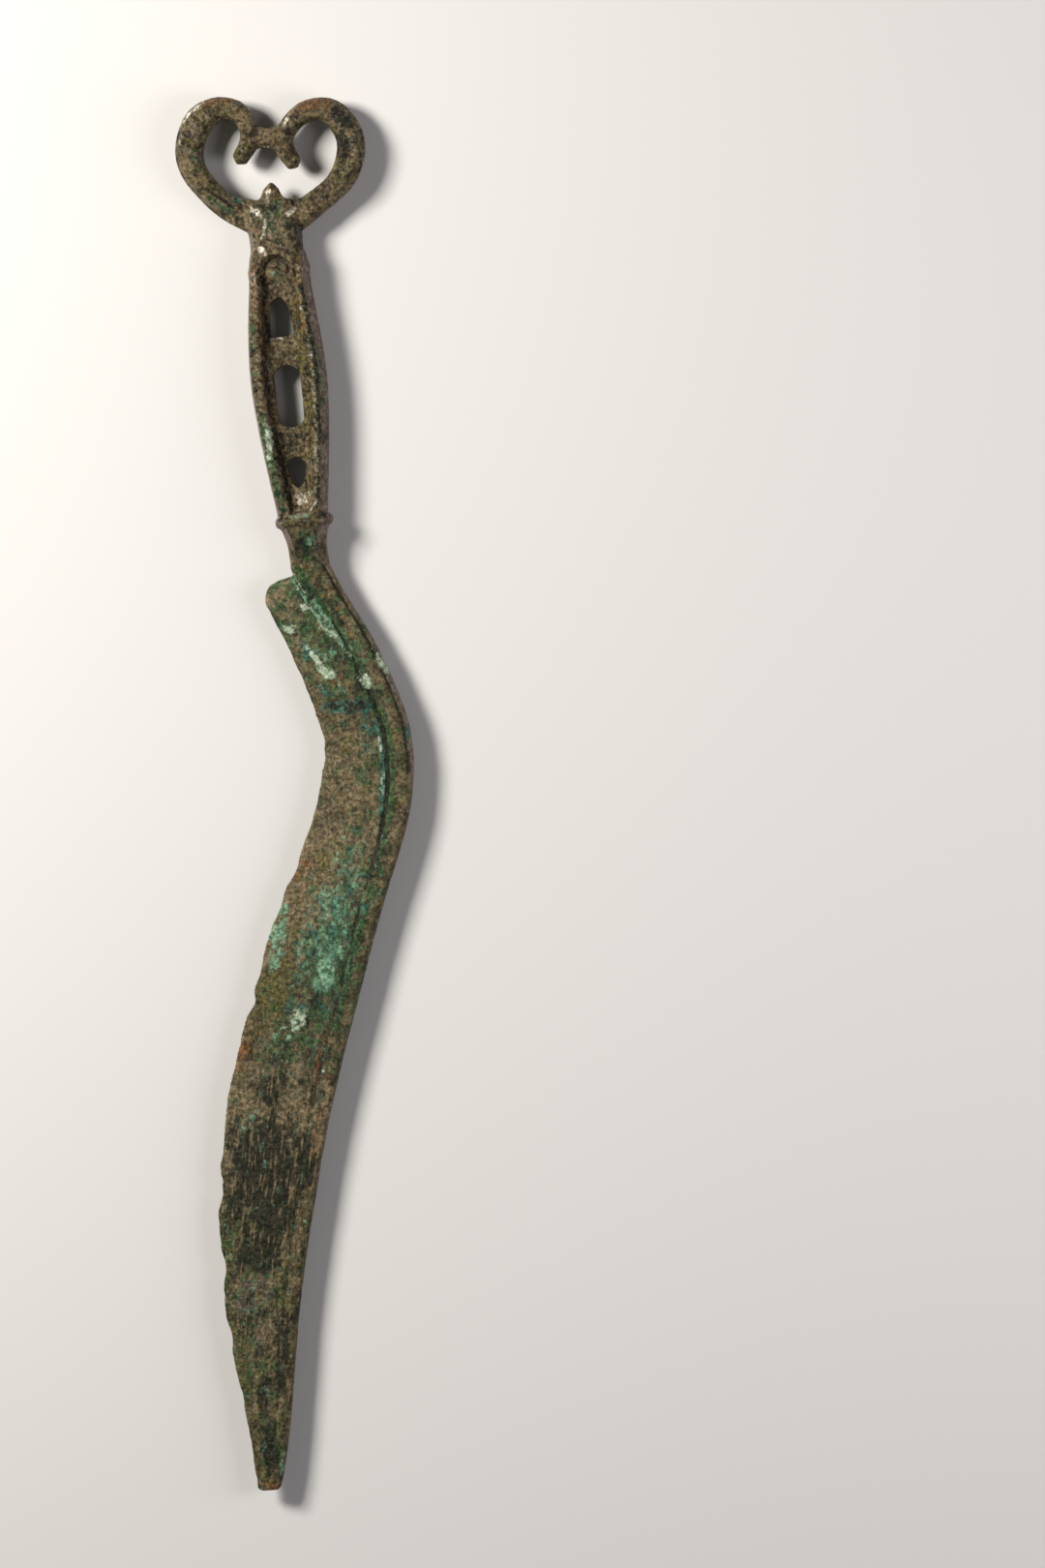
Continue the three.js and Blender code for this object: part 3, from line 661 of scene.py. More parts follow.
@dataclass
class Skin:
    """The knife's solids as one closed skin, whose points are worked as rows of x, y and z.

    voxel is the width of its faces. A bar's section is measured in cells: section_columns of them
    across the bar, each section_row long. A cell thinner than thinnest counts as empty.
    """

    datum: Datum
    voxel: float = 0.3
    section_columns: int = 11
    section_row: float = 1.6
    section_rounds: int = 5
    section_keep: float = 0.6
    section_change: Span = (0.35, 1.5)
    thinnest: float = 0.3
    mesh: bpy.types.Mesh = field(init=False)
    points: Array = field(init=False)
    edges: Array = field(init=False)
    noise: LatticeNoise = field(default_factory=lambda: LatticeNoise(7))

    RELAX_STEPS = (0.5, -0.52)

    def melt(self, nodes: Iterable[bpy.types.Object]) -> None:
        """Joins solids into one skin of small even faces.

        Args:
            nodes: The frame's nodes.
        """
        joined = bmesh.new()
        for node in nodes:
            joined.from_mesh(node.data)
        to_mm = self.datum.to_frame().inverted()
        bmesh.ops.transform(joined, matrix=to_mm, verts=joined.verts)
        rough = bpy.data.meshes.new("rough_casting")
        joined.to_mesh(rough)
        joined.free()
        holder = bpy.data.objects.new("rough_casting", rough)
        bpy.context.scene.collection.objects.link(holder)
        remesh = holder.modifiers.new("melt", "REMESH")
        remesh.mode = "VOXEL"
        remesh.voxel_size = self.voxel
        graph = bpy.context.evaluated_depsgraph_get()
        self.mesh = bpy.data.meshes.new_from_object(holder.evaluated_get(graph))
        bpy.data.objects.remove(holder)
        bpy.data.meshes.remove(rough)
        self.points = read_all(self.mesh.vertices, "co", 3).astype(float)
        self.edges = read_all(self.mesh.edges, "vertices", 2, np.int32)
        LOG.info("melted casting: %d points", len(self.points))

    def neighbour_mean(self, values: Array) -> Array:
        """Averages each point's neighbours.

        Args:
            values: One row of numbers for each point.

        Returns:
            The rows' averages, one row for each point.
        """
        first, second = self.edges.T
        size = len(self.points)
        count = np.bincount(first, minlength=size) + np.bincount(second, minlength=size)
        columns = [
            np.bincount(first, column[second], size) + np.bincount(second, column[first], size)
            for column in values.T
        ]
        return np.stack(columns, axis=1) / count[:, None]

    def relax(self, rounds: int) -> None:
        """Evens the skin without thinning it.

        Args:
            rounds: Pairs of one step in and one step out.
        """
        for _ in range(rounds):
            for step in self.RELAX_STEPS:
                self.points += step * (self.neighbour_mean(self.points) - self.points)

    def soften(self, fillet: Fillet) -> None:
        """Fills the corner between two pieces.

        Args:
            fillet: Where, and how widely.
        """
        share = fillet.share(self.points)[:, None]
        for _ in range(fillet.ROUNDS):
            self.points += share * (self.neighbour_mean(self.points) - self.points)

    def normals(self) -> Array:
        """Writes the points to the mesh and reads their normals.

        Returns:
            A row of three numbers for each point.
        """
        self.mesh.vertices.foreach_set("co", self.points.astype(np.float32).ravel())
        self.mesh.update()
        return read_all(self.mesh.vertex_normals, "vector", 3).astype(float)

    def reprofile(self, across: Array, along: Array, weight: Array, section: Section) -> None:
        """Gives a bar a new section, and keeps its outline and its greatest height.

        Args:
            across: Each point's share of the way across the bar.
            along: Each point's place along the bar, in millimetres.
            weight: 1 where the section holds fully, 0 where nothing changes.
            section: The new section.
        """
        inside = (weight > 0.0) & (across >= 0.0) & (across <= 1.0)
        columns = self.section_columns
        column = np.clip(across[inside] * columns, 0.0, columns - TINY)
        row = (along[inside] - along[inside].min()) / self.section_row
        top = self._measure(column, row, np.abs(self.points[inside, 2]))
        middles = (np.arange(columns) + 0.5) / columns
        wanted = section.at(middles) * top.max(axis=1, keepdims=True)
        change = np.clip(wanted / np.maximum(top, self.thinnest), *self.section_change)
        scale = self._between(change, row, column)
        self.points[inside, 2] *= 1.0 + weight[inside] * (scale - 1.0)

    def _measure(self, column: Array, row: Array, height: Array) -> Array:
        """Measures a bar in cells, fills the empty ones and evens them all.

        Args:
            column: Each point's place across, in cells.
            row: Each point's place along, in cells.
            height: Each point's height.

        Returns:
            The greatest height in each cell, rows by columns.
        """
        top = np.zeros((int(row.max()) + 2, self.section_columns))
        np.maximum.at(top, (row.astype(int), column.astype(int)), height)
        keep = self.section_keep
        for _ in range(self.section_rounds):
            spread = np.pad(top, 1, mode="edge")
            near = spread[:-2, 1:-1] + spread[2:, 1:-1] + spread[1:-1, :-2] + spread[1:-1, 2:]
            near /= 4.0
            top = np.where(top > self.thinnest, keep * top + (1.0 - keep) * near, near)
        return top

    @staticmethod
    def _between(cells: Array, row: Array, column: Array) -> Array:
        """Reads a grid of cells at places between their middles.

        Args:
            cells: The grid, rows by columns.
            row: Each place's row, whole at the rims of a cell.
            column: Each place's column, in the same way.

        Returns:
            One value for each place.
        """
        left = np.clip((column - 0.5).astype(int), 0, cells.shape[1] - 2)
        aside = np.clip(column - 0.5 - left, 0.0, 1.0)
        low = np.clip((row - 0.5).astype(int), 0, cells.shape[0] - 2)
        up = np.clip(row - 0.5 - low, 0.0, 1.0)
        first = cells[low, left] * (1.0 - aside) + cells[low, left + 1] * aside
        second = cells[low + 1, left] * (1.0 - aside) + cells[low + 1, left + 1] * aside
        return first * (1.0 - up) + second * up

    def keep(self, masks: dict[str, Array]) -> None:
        """Stores masks and the skin's normals on the mesh, so that the cut pieces carry them.

        Args:
            masks: One number for each point, by the mask's name.
        """
        for name, mask in masks.items():
            layer = self.mesh.attributes.new(name, "FLOAT", "POINT")
            layer.data.foreach_set("value", mask.astype(np.float32))
        layer = self.mesh.attributes.new("casting_normal", "FLOAT_VECTOR", "POINT")
        layer.data.foreach_set("vector", self.normals().astype(np.float32).ravel())


@dataclass
class Relief:
    """What is laid on a skin along its normals, as a height for each point.

    """

    points: Array
    normals: Array
    facing: Array
    height: Array


@dataclass
class Saw:
    """Cuts the casting where its pieces meet and closes both sides of every cut.

    margin is how far a cut inside a window reaches to both sides, slice_gap the gap between the
    rows of a curved cut's sides, and a loose bit with fewer faces than crumb is dropped.
    """

    datum: Datum
    parts: list[bmesh.types.BMesh]
    margin: float = 1.0
    crumb: int = 60
    slice_gap: float = 2.0

    ASIDE = Vector((1.0, 0.0, 0.0))
    UP = Vector((0.0, 1.0, 0.0))

    def across(self, nodes: Iterable[str], level: float) -> None:
        """Cuts straight across a part at one level.

        Args:
            nodes: The nodes that the part still holds.
            level: Where the cut goes.
        """
        part = self.take(nodes)
        self._cut(part, part.faces, self.UP * float(level), self.UP)
        self.put_back(part)

    def along(self, nodes: Iterable[str], line: Callable[[Array], Array]) -> None:
        """Cuts along a curved line, by straightening it, cutting, and bending it back.

        Args:
            nodes: The nodes that the part still holds.
            line: Gives the line's x at each level.
        """
        part = self.take(nodes)
        levels = [vert.co.y for vert in part.verts]
        rows = np.arange(min(levels) + self.slice_gap, max(levels), self.slice_gap)
        self._shear(part, line, -1.0)
        self._cut(part, part.faces, Vector(), self.ASIDE, rows)
        self._shear(part, line, 1.0)
        self.put_back(part)

    def inside(self, part: bmesh.types.BMesh, way: Vector, level: float, window: Span) -> None:
        """Cuts a part square to one way, only near the cut and inside a window beside the way.

        Args:
            part: The part.
            way: ASIDE or UP.
            level: Where along the way the cut goes.
            window: The lowest and highest place beside the way.
        """
        beside = Vector((way.y, way.x, 0.0))
        low, high = level - self.margin, level + self.margin
        faces = []
        for face in part.faces:
            middle = face.calc_center_median()
            if low < middle.dot(way) < high and window[0] < middle.dot(beside) < window[1]:
                faces.append(face)
        self._cut(part, faces, way * float(level), way)

    def take(self, nodes: Iterable[str]) -> bmesh.types.BMesh:
        """Takes out the part whose box fits the named nodes' box best.

        Args:
            nodes: The nodes that the part still holds.

        Returns:
            The part.
        """
        boxes = [self.datum.box(node) for node in nodes]
        low = np.min([box[0] for box in boxes], axis=0)
        high = np.max([box[1] for box in boxes], axis=0)

        def misfit(part: bmesh.types.BMesh) -> float:
            """Adds up how far the part's corners are from the box's."""
            points = np.array([vert.co for vert in part.verts])
            return np.abs(points.min(axis=0) - low).sum() + np.abs(points.max(axis=0) - high).sum()

        best = min(self.parts, key=misfit)
        self.parts.remove(best)
        return best

    def put_back(self, part: bmesh.types.BMesh) -> None:
        """Splits a part into its loose pieces, drops crumbs and keeps the others.

        Args:
            part: The part, which isn't used any more.
        """
        part.faces.index_update()
        part.faces.ensure_lookup_table()
        for group in self._groups(part):
            if len(group) < self.crumb:
                continue
            piece = part.copy()
            piece.faces.ensure_lookup_table()
            others = [face for face in piece.faces if face.index not in group]
            bmesh.ops.delete(piece, geom=others, context="FACES")
            self.parts.append(piece)
        part.free()

    def _cut(self, part: bmesh.types.BMesh, faces: Iterable[bmesh.types.BMFace], place: Vector,
             way: Vector, rows: Iterable[float] = ()) -> None:
        """Bisects faces, opens the seam and closes both of its sides.

        Args:
            part: The part.
            faces: The faces that may be cut.
            place: A point on the plane.
            way: The plane's normal.
            rows: Levels at which the new sides are divided, so that they can be bent.
        """
        found = self._bisect(part, list(faces), place, way)
        seam = [item for item in found["geom_cut"] if isinstance(item, bmesh.types.BMEdge)]
        bmesh.ops.split_edges(part, edges=seam)
        rims = [edge for edge in part.edges if edge.is_boundary]
        for edge in rims:
            edge.smooth = False
        filled = bmesh.ops.holes_fill(part, edges=rims, sides=0)["faces"]
        for face in filled:
            face.smooth = False
        for level in rows:
            sliced = self._bisect(part, filled, self.UP * float(level), self.UP)
            filled = [item for item in sliced["geom"] if isinstance(item, bmesh.types.BMFace)]
        bmesh.ops.triangulate(part, faces=filled, ngon_method="EAR_CLIP")

    @staticmethod
    def _bisect(part: bmesh.types.BMesh, faces: list[bmesh.types.BMFace], place: Vector,
                way: Vector) -> dict[str, list]:
        """Divides faces along a plane.

        Args:
            part: The part.
            faces: The faces.
            place: A point on the plane.
            way: The plane's normal.

        Returns:
            What the cut made, under geom_cut, and everything that it touched, under geom.
        """
        edges = dict.fromkeys(edge for face in faces for edge in face.edges)
        verts = dict.fromkeys(vert for face in faces for vert in face.verts)
        return bmesh.ops.bisect_plane(part, geom=[*verts, *edges, *faces], dist=CUT_SLACK,
                                      plane_co=place, plane_no=way)

    @staticmethod
    def _groups(part: bmesh.types.BMesh) -> list[set[int]]:
        """Groups a part's faces into its loose pieces.

        Args:
            part: The part, with its faces numbered.

        Returns:
            The faces' numbers, a set for each piece.
        """
        seen = bytearray(len(part.faces))
        groups = []
        for start in part.faces:
            if seen[start.index]:
                continue
            seen[start.index] = 1
            group, front = {start.index}, [start]
            while front:
                for edge in front.pop().edges:
                    for other in edge.link_faces:
                        if not seen[other.index]:
                            seen[other.index] = 1
                            group.add(other.index)
                            front.append(other)
            groups.append(group)
        return groups

    @staticmethod
    def _shear(part: bmesh.types.BMesh, line: Callable[[Array], Array], way: float) -> None:
        """Moves every point of a part aside, by the line's x at its level.

        Args:
            part: The part.
            line: Gives the line's x at each level.
            way: 1 to bend the part along the line, -1 to straighten it.
        """
        levels = np.array([vert.co.y for vert in part.verts])
        for vert, shift in zip(part.verts, line(levels)):
            vert.co.x += way * float(shift)


def srgb(colour: Colour) -> tuple[float, float, float, float]:
    """Turns a colour into the linear values that a socket takes.

    Args:
        colour: Red, green and blue from 0 to 255.

    Returns:
        Linear red, green and blue, and a full alpha.
    """
    channels = []
    for level in colour:
        share = level / 255.0
        channels.append(share / 12.92 if share <= 0.04045 else ((share + 0.055) / 1.055) ** 2.4)
    return (*channels, 1.0)


Socket = bpy.types.NodeSocket
Feed = Union[Socket, float, tuple]


@dataclass(frozen=True)
class Specks:
    """A noise of the patina: the width of its largest specks, its octaves, and how rough it is."""

    size_mm: float
    detail: float
    roughness: float


class Graph:
    """Adds and joins nodes in one node tree. An input is fed a socket or a plain value."""

    COLUMNS = 12
    COLUMN_WIDTH = 200.0
    ROW_HEIGHT = 260.0

    def __init__(self, tree: bpy.types.NodeTree) -> None:
        """Starts on a tree, empty or not."""
        self.tree = tree
        self.count = 0

    def add(self, kind: str, inputs: dict[str, Feed] | None = None,
            **settings: object) -> bpy.types.Node:
        """Adds a node.

        Args:
            kind: Its type, without the ShaderNode in front.
            inputs: What its inputs are fed, by name.
            settings: Its properties by name.

        Returns:
            The new node.
        """
        prefix = "" if kind.startswith("NodeGroup") else "ShaderNode"
        node = self.tree.nodes.new(prefix + kind)
        for name, value in settings.items():
            setattr(node, name, value)
        for name, item in (inputs or {}).items():
            self.feed(item, node.inputs[name])
        row, column = divmod(self.count, self.COLUMNS)
        node.location = (self.COLUMN_WIDTH * column, -self.ROW_HEIGHT * row)
        self.count += 1
        return node

    def feed(self, item: Feed, target: Socket) -> None:
        """Joins a socket to an input, or sets the input to a plain value.

        Args:
            item: The socket or the value.
            target: The input.
        """
        if isinstance(item, Socket):
            self.tree.links.new(item, target)
        else:
            target.default_value = item

    def ramp(self, value: Socket, low: float, high: float, floor: float = 0.0,
             top: float = 1.0) -> Socket:
        """Maps a number smoothly, and holds it at both ends.

        Args:
            value: The number.
            low: What becomes floor.
            high: What becomes top.
            floor: The least result.
            top: The greatest result.

        Returns:
            The mapped number.
        """
        return self.add("MapRange", interpolation_type="SMOOTHSTEP", inputs={
            "Value": value, "From Min": low, "From Max": high, "To Min": floor, "To Max": top,
        }).outputs["Result"]

    def _maths(self, operation: str, first: Feed, second: Feed) -> Socket:
        """Combines two numbers.

        Args:
            operation: What is done with them.
            first: The first number.
            second: The second number.

        Returns:
            The result.
        """
        node = self.add("Math", operation=operation)
        self.feed(first, node.inputs[0])
        self.feed(second, node.inputs[1])
        return node.outputs[0]

    def plus(self, first: Feed, second: Feed) -> Socket:
        """Adds two numbers."""
        return self._maths("ADD", first, second)

    def minus(self, first: Feed, second: Feed) -> Socket:
        """Takes the second number from the first."""
        return self._maths("SUBTRACT", first, second)

    def times(self, first: Feed, second: Feed) -> Socket:
        """Multiplies two numbers."""
        return self._maths("MULTIPLY", first, second)

    def larger(self, first: Feed, second: Feed) -> Socket:
        """Gives the larger of two numbers."""
        return self._maths("MAXIMUM", first, second)

    def blend(self, factor: Socket, first: Feed, second: Feed) -> Socket:
        """Mixes two colours."""
        return self._mix("RGBA", "RGBA", factor, first, second)

    def weigh(self, factor: Socket, first: Feed, second: Feed) -> Socket:
        """Mixes two numbers."""
        return self._mix("FLOAT", "VALUE", factor, first, second)

    def _mix(self, kind: str, socket_type: str, factor: Socket, first: Feed,
             second: Feed) -> Socket:
        """Mixes two items.

        Args:
            kind: What the node mixes.
            socket_type: The type of the sockets that it uses for that.
            factor: 0 for the first item and 1 for the second.
            first: The first item.
            second: The second item.

        Returns:
            The mixture.
        """
        node = self.add("Mix", data_type=kind, inputs={"Factor": factor})
        for name, item in (("A", first), ("B", second)):
            sockets = (entry for entry in node.inputs if entry.name == name)
            self.feed(item, next(entry for entry in sockets if entry.type == socket_type))
        return next(entry for entry in node.outputs if entry.type == socket_type)

    def mask(self, name: str) -> Socket:
        """Reads a mask that the casting carries."""
        return self.add("Attribute", attribute_name=name).outputs["Fac"]

    def noise(self, place: Socket, specks: Specks, seed: float = 0.0) -> Socket:
        """Reads noise.

        Args:
            place: Where it is read.
            specks: The noise.
            seed: Chooses another noise of the same kind.

        Returns:
            Values round a half.
        """
        return self.add("TexNoise", noise_dimensions="4D", inputs={
            "Vector": place, "W": seed, "Scale": 1.0 / (specks.size_mm * MM),
            "Detail": specks.detail, "Roughness": specks.roughness,
        }).outputs["Fac"]


@dataclass(frozen=True)
class ToneFinish:
    """How one tone of the patina looks.

    light and dark are the two colours that it wavers between, height how far it stands out or in,
    and grain_mm the size of the largest specks at its rim. cover is how much it hides.
    """

    tone: Tone
    light: Colour
    dark: Colour
    roughness: float
    height: float
    grain_mm: float
    cover: float = 0.85


TONE_FINISHES = (
    ToneFinish(Tone.TAN, (132, 119, 95), (92, 79, 59), 0.42, 0.0, 3.0),
    ToneFinish(Tone.OLIVE, (108, 102, 58), (58, 55, 31), 0.42, 0.0, 3.0, 0.75),
    ToneFinish(Tone.RUST, (132, 94, 62), (82, 56, 36), 0.4, 0.0, 2.4, 0.8),
    ToneFinish(Tone.GREY, (130, 114, 105), (90, 78, 73), 0.42, 0.0, 2.2, 0.8),
    ToneFinish(Tone.GREEN, (62, 96, 58), (24, 46, 28), 0.42, 0.1, 2.0, 0.8),
    ToneFinish(Tone.TEAL, (68, 112, 94), (24, 54, 52), 0.42, 0.1, 1.8),
    ToneFinish(Tone.DARK, (38, 40, 27), (12, 15, 10), 0.45, -0.1, 3.2, 0.9),
    ToneFinish(Tone.MINT, (138, 168, 140), (78, 118, 92), 0.55, 0.3, 1.5),
    ToneFinish(Tone.CRUST, (204, 214, 192), (132, 152, 124), 0.6, 0.45, 1.1, 0.88),
    # Painted highlight: a pale, glossy colour laid as a layer like the patina's tones.
    ToneFinish(Tone.BRIGHT, (230, 222, 206), (152, 140, 120), 0.26, 0.2, 1.2, 0.9),
)


class Patina:
    """The shared patina: uneven metal, worn crests that also carry painted highlight, dark
    hollows, a layer for each tone, one of them painted highlight, and painted glints.

    It is one node group. Each bronze gives it its own colours and amounts.
    """

    NAME = "patina"
    COLOURS = ("Ground", "Ground Dark", "Worn And Painted Highlight", "Hollow")
    AMOUNTS = ("Grain", "Pitting", "Gloss", "Scratch", "Draw", "Sparkle")
    RESULTS = ("Roughness", "Metallic", "Height")
    BLADE_LEAN = -12.0
    STREAKY = (Tone.DARK, Tone.OLIVE, Tone.MINT, Tone.TEAL)
    EVEN = (Tone.GREY, Tone.CRUST)

    MIDDLING = Specks(2.4, 5.0, 0.65)
    FINE = Specks(0.8, 4.0, 0.75)
    RIM_DETAIL = (6.0, 0.74)
    RIM_SEED, RIM_SEED_STEP = 1.3, 3.7
    WAVER = Specks(1.0, 4.0, 0.7)
    WAVER_SEED, WAVER_SEED_STEP = 40.0, 5.1
    SCRATCHES = Specks(0.7, 3.0, 0.65)
    GLINTS = Specks(0.75, 3.0, 0.7)
    GLINTS_SEED = 77.0

    GROUND_RANGE = (0.36, 0.62)
    ROUGHNESS_RAMP = (0.3, 0.7, 0.36, 0.5)
    CREST_RAMP = (0.42, 0.58, 0.0, 0.95)
    GLINTS_RANGE = (0.54, 0.6)
    GLINTS_ON_CREST = (0.0, 1.0, 0.18, 1.0)
    WAVER_RANGE = (0.38, 0.62)
    SCRATCH_RANGE = (0.53, 0.64)
    SCRATCH_LENGTH = 7.0
    SCRATCH_DEPTH = 0.4
    UNDULATION = 1.6
    SPREAD = 2.8
    RIM = 0.2
    SOLID_CALM = 0.4
    SATURATION = 1.1
    DEPTH = 0.99
    HOLLOW_COVER = 0.85
    CREST_ROUGHNESS = 0.28
    HOLLOW_ROUGHNESS = 0.6
    METAL_LOW = 0.15
    METAL_WORN = 0.55
    # The colour of the painted glints.
    SPARKLE = (206, 200, 182)
    SPARKLE_ROUGHNESS = 0.24

    def __init__(self) -> None:
        """Builds the node group once."""
        self.tree = bpy.data.node_groups.new(self.NAME, "ShaderNodeTree")
        self.graph = Graph(self.tree)
        numbers = (*self.AMOUNTS, *(self.level_name(tone) for tone in Tone))
        self._open("INPUT", "NodeSocketColor", self.COLOURS)
        self._open("INPUT", "NodeSocketFloat", numbers)
        self._open("OUTPUT", "NodeSocketColor", ("Color",))
        self._open("OUTPUT", "NodeSocketFloat", self.RESULTS)
        self.given = self.graph.add("NodeGroupInput").outputs
        self.place = self.graph.add("TexCoord").outputs["Object"]
        self.fine = self.graph.noise(self.place, self.FINE)
        self._build()

    def _open(self, way: str, kind: str, names: Iterable[str]) -> None:
        """Gives the group its named inputs or outputs of one kind."""
        for name in names:
            self.tree.interface.new_socket(name, in_out=way, socket_type=kind)

    @staticmethod
    def level_name(tone: Tone) -> str:
        """Names the input that says how much of a tone lies everywhere."""
        return f"{tone.value.title()} Level"

    def _build(self) -> None:
        """Lays the layers from the bare metal up."""
        graph, given = self.graph, self.given
        middling = graph.noise(self.place, self.MIDDLING)
        ground = graph.ramp(middling, *self.GROUND_RANGE)
        colour = graph.blend(ground, given["Ground Dark"], given["Ground"])
        roughness = graph.ramp(self.fine, *self.ROUGHNESS_RAMP)
        height = graph.plus(graph.times(self.fine, given["Pitting"]),
                            graph.times(middling, self.UNDULATION))
        lines = self._scratches()

        streaky = self._stretched(given["Draw"])
        solid: Feed = 0.0
        for index, finish in enumerate(TONE_FINISHES):
            cover = self._cover(index, finish, streaky)
            colour = graph.blend(cover, colour, self._paint(index, finish))
            roughness = graph.weigh(cover, roughness, finish.roughness)
            if finish.height:
                height = graph.plus(height, graph.times(cover, finish.height))
            if finish.tone in self.EVEN:
                solid = graph.larger(solid, cover)
        colour = graph.blend(lines, colour, given["Worn And Painted Highlight"])
        height = graph.minus(height, graph.times(lines, self.SCRATCH_DEPTH))

        crest = graph.times(graph.mask("crest"), graph.ramp(self.fine, *self.CREST_RAMP))
        hollow = graph.times(graph.mask("hollow"), self.HOLLOW_COVER)
        # Crests take the worn colour: partly rubbed metal, partly painted highlight.
        colour = graph.blend(crest, colour, given["Worn And Painted Highlight"])
        colour = graph.blend(hollow, colour, given["Hollow"])
        colour = self._grain(colour, solid)
        roughness = graph.weigh(crest, roughness, self.CREST_ROUGHNESS)
        roughness = graph.weigh(hollow, roughness, self.HOLLOW_ROUGHNESS)
        roughness = graph.minus(roughness, given["Gloss"])

        # Painted glints: pale specks blended into the colour.
        sparkle = self._sparkle()
        graph.add("NodeGroupOutput", inputs={
            "Color": graph.blend(sparkle, colour, srgb(self.SPARKLE)),
            "Roughness": graph.weigh(sparkle, roughness, self.SPARKLE_ROUGHNESS),
            "Metallic": graph.weigh(crest, self.METAL_LOW, self.METAL_WORN),
            "Height": height,
        })

    def _scratches(self) -> Socket:
        """Scratches the blade lengthwise.

        Returns:
            The mask of the scratches.
        """
        graph = self.graph
        drawn = graph.noise(self._stretched(self.SCRATCH_LENGTH), self.SCRATCHES)
        amount = graph.times(graph.mask("scratched"), self.given["Scratch"])
        return graph.times(graph.ramp(drawn, *self.SCRATCH_RANGE), amount)

    def _cover(self, index: int, finish: ToneFinish, streaky: Socket) -> Socket:
        """Makes the mask of one tone's layer.

        Args:
            index: The tone's place in the order of the layers.
            finish: How the tone looks.
            streaky: The place drawn out along the blade.

        Returns:
            0 where the layer is bare, and the tone's full cover where it lies.
        """
        graph = self.graph
        where = streaky if finish.tone in self.STREAKY else self.place
        seed = self.RIM_SEED_STEP * index + self.RIM_SEED
        grain = graph.noise(where, Specks(finish.grain_mm, *self.RIM_DETAIL), seed)
        everywhere = self.given[self.level_name(finish.tone)]
        level = graph.plus(graph.mask(f"tone_{finish.tone.value}"), everywhere)
        ragged = graph.times(graph.minus(grain, 0.5), self.SPREAD)
        reach = graph.plus(level, ragged)
        return graph.ramp(reach, 0.5 - self.RIM, 0.5 + self.RIM, 0.0, finish.cover)

    def _paint(self, index: int, finish: ToneFinish) -> Socket:
        """Makes one tone's colour, which wavers between its two.

        Args:
            index: The tone's place in the order of the layers.
            finish: How the tone looks.

        Returns:
            The colour.
        """
        seed = self.WAVER_SEED_STEP * index + self.WAVER_SEED
        waver = self.graph.noise(self.place, self.WAVER, seed)
        share = self.graph.ramp(waver, *self.WAVER_RANGE)
        return self.graph.blend(share, srgb(finish.dark), srgb(finish.light))

    def _stretched(self, times: Feed) -> Socket:
        """Draws the place out along the blade, so that noise read there runs lengthwise.

        Args:
            times: How many times it is drawn out.

        Returns:
            The place to read the noise at.
        """
        scale = self.graph.add("CombineXYZ", inputs={"X": 1.0, "Y": times, "Z": 1.0})
        lean = (0.0, 0.0, math.radians(self.BLADE_LEAN))
        return self.graph.add("Mapping", vector_type="TEXTURE", inputs={
            "Vector": self.place, "Rotation": lean, "Scale": scale.outputs["Vector"],
        }).outputs["Vector"]

    def _grain(self, colour: Socket, solid: Feed) -> Socket:
        """Lightens and darkens a colour in fine grains.

        Args:
            colour: The colour.
            solid: 1 where an even tone lies, which shows less grain.

        Returns:
            The grained colour.
        """
        graph = self.graph
        evenness = graph.minus(1.0, graph.times(solid, self.SOLID_CALM))
        amount = graph.times(evenness, self.given["Grain"])
        swing = graph.times(graph.ramp(self.fine, *self.WAVER_RANGE, -1.0, 1.0), amount)
        value = graph.times(graph.plus(swing, 1.0), self.DEPTH)
        return graph.add("HueSaturation", inputs={
            "Saturation": self.SATURATION, "Value": value, "Color": colour}).outputs["Color"]

    def _sparkle(self) -> Socket:
        """Scatters small painted glints, pale glossy specks laid into the colour, thickest on the
        crests.

        Returns:
            The mask of the glints.
        """
        graph = self.graph
        glints = graph.noise(self.place, self.GLINTS, self.GLINTS_SEED)
        raised = graph.ramp(graph.mask("crest"), *self.GLINTS_ON_CREST)
        amount = graph.times(raised, self.given["Sparkle"])
        return graph.times(graph.ramp(glints, *self.GLINTS_RANGE), amount)


@dataclass(frozen=True)
class BronzeFinish:
    """A bronze of the knife: its own values for the shared patina.

    levels say how much of each tone lies everywhere. draw is how many times longer than wide its
    streaky tones are.
    """

    SPECULAR = 0.16
    BUMP_MM = 0.15

    name: str
    ground: Colour
    ground_dark: Colour
    # worn is the colour of scratches and rubbed crests; on the crests it is partly painted
    # highlight.
    worn: Colour
    hollow: Colour
    levels: dict[Tone, float]
    grain: float
    pitting: float
    gloss: float
    scratch: float
    draw: float
    sparkle: float

    def make(self, patina: Patina) -> bpy.types.Material:
        """Builds the material.

        Args:
            patina: The shared node group.

        Returns:
            The finished material.
        """
        material = bpy.data.materials.new(self.name)
        material.use_nodes = True
        material.node_tree.nodes.clear()
        graph = Graph(material.node_tree)
        colours = (self.ground, self.ground_dark, self.worn, self.hollow)
        amounts = (self.grain, self.pitting, self.gloss, self.scratch, self.draw, self.sparkle)
        values = dict(zip(patina.COLOURS, map(srgb, colours))) | dict(zip(patina.AMOUNTS, amounts))
        values |= {patina.level_name(tone): level for tone, level in self.levels.items()}
        layers = graph.add("Group", node_tree=patina.tree, inputs=values).outputs
        bump_node = graph.add("Bump", inputs={
            "Strength": 1.0, "Distance": self.BUMP_MM * MM, "Height": layers["Height"]})
        metal = graph.add("BsdfPrincipled", inputs={
            "Base Color": layers["Color"], "Roughness": layers["Roughness"],
            "Metallic": layers["Metallic"], "Specular IOR Level": self.SPECULAR,
            "Normal": bump_node.outputs["Normal"]})
        graph.add("OutputMaterial", inputs={"Surface": metal.outputs["BSDF"]})
        return material


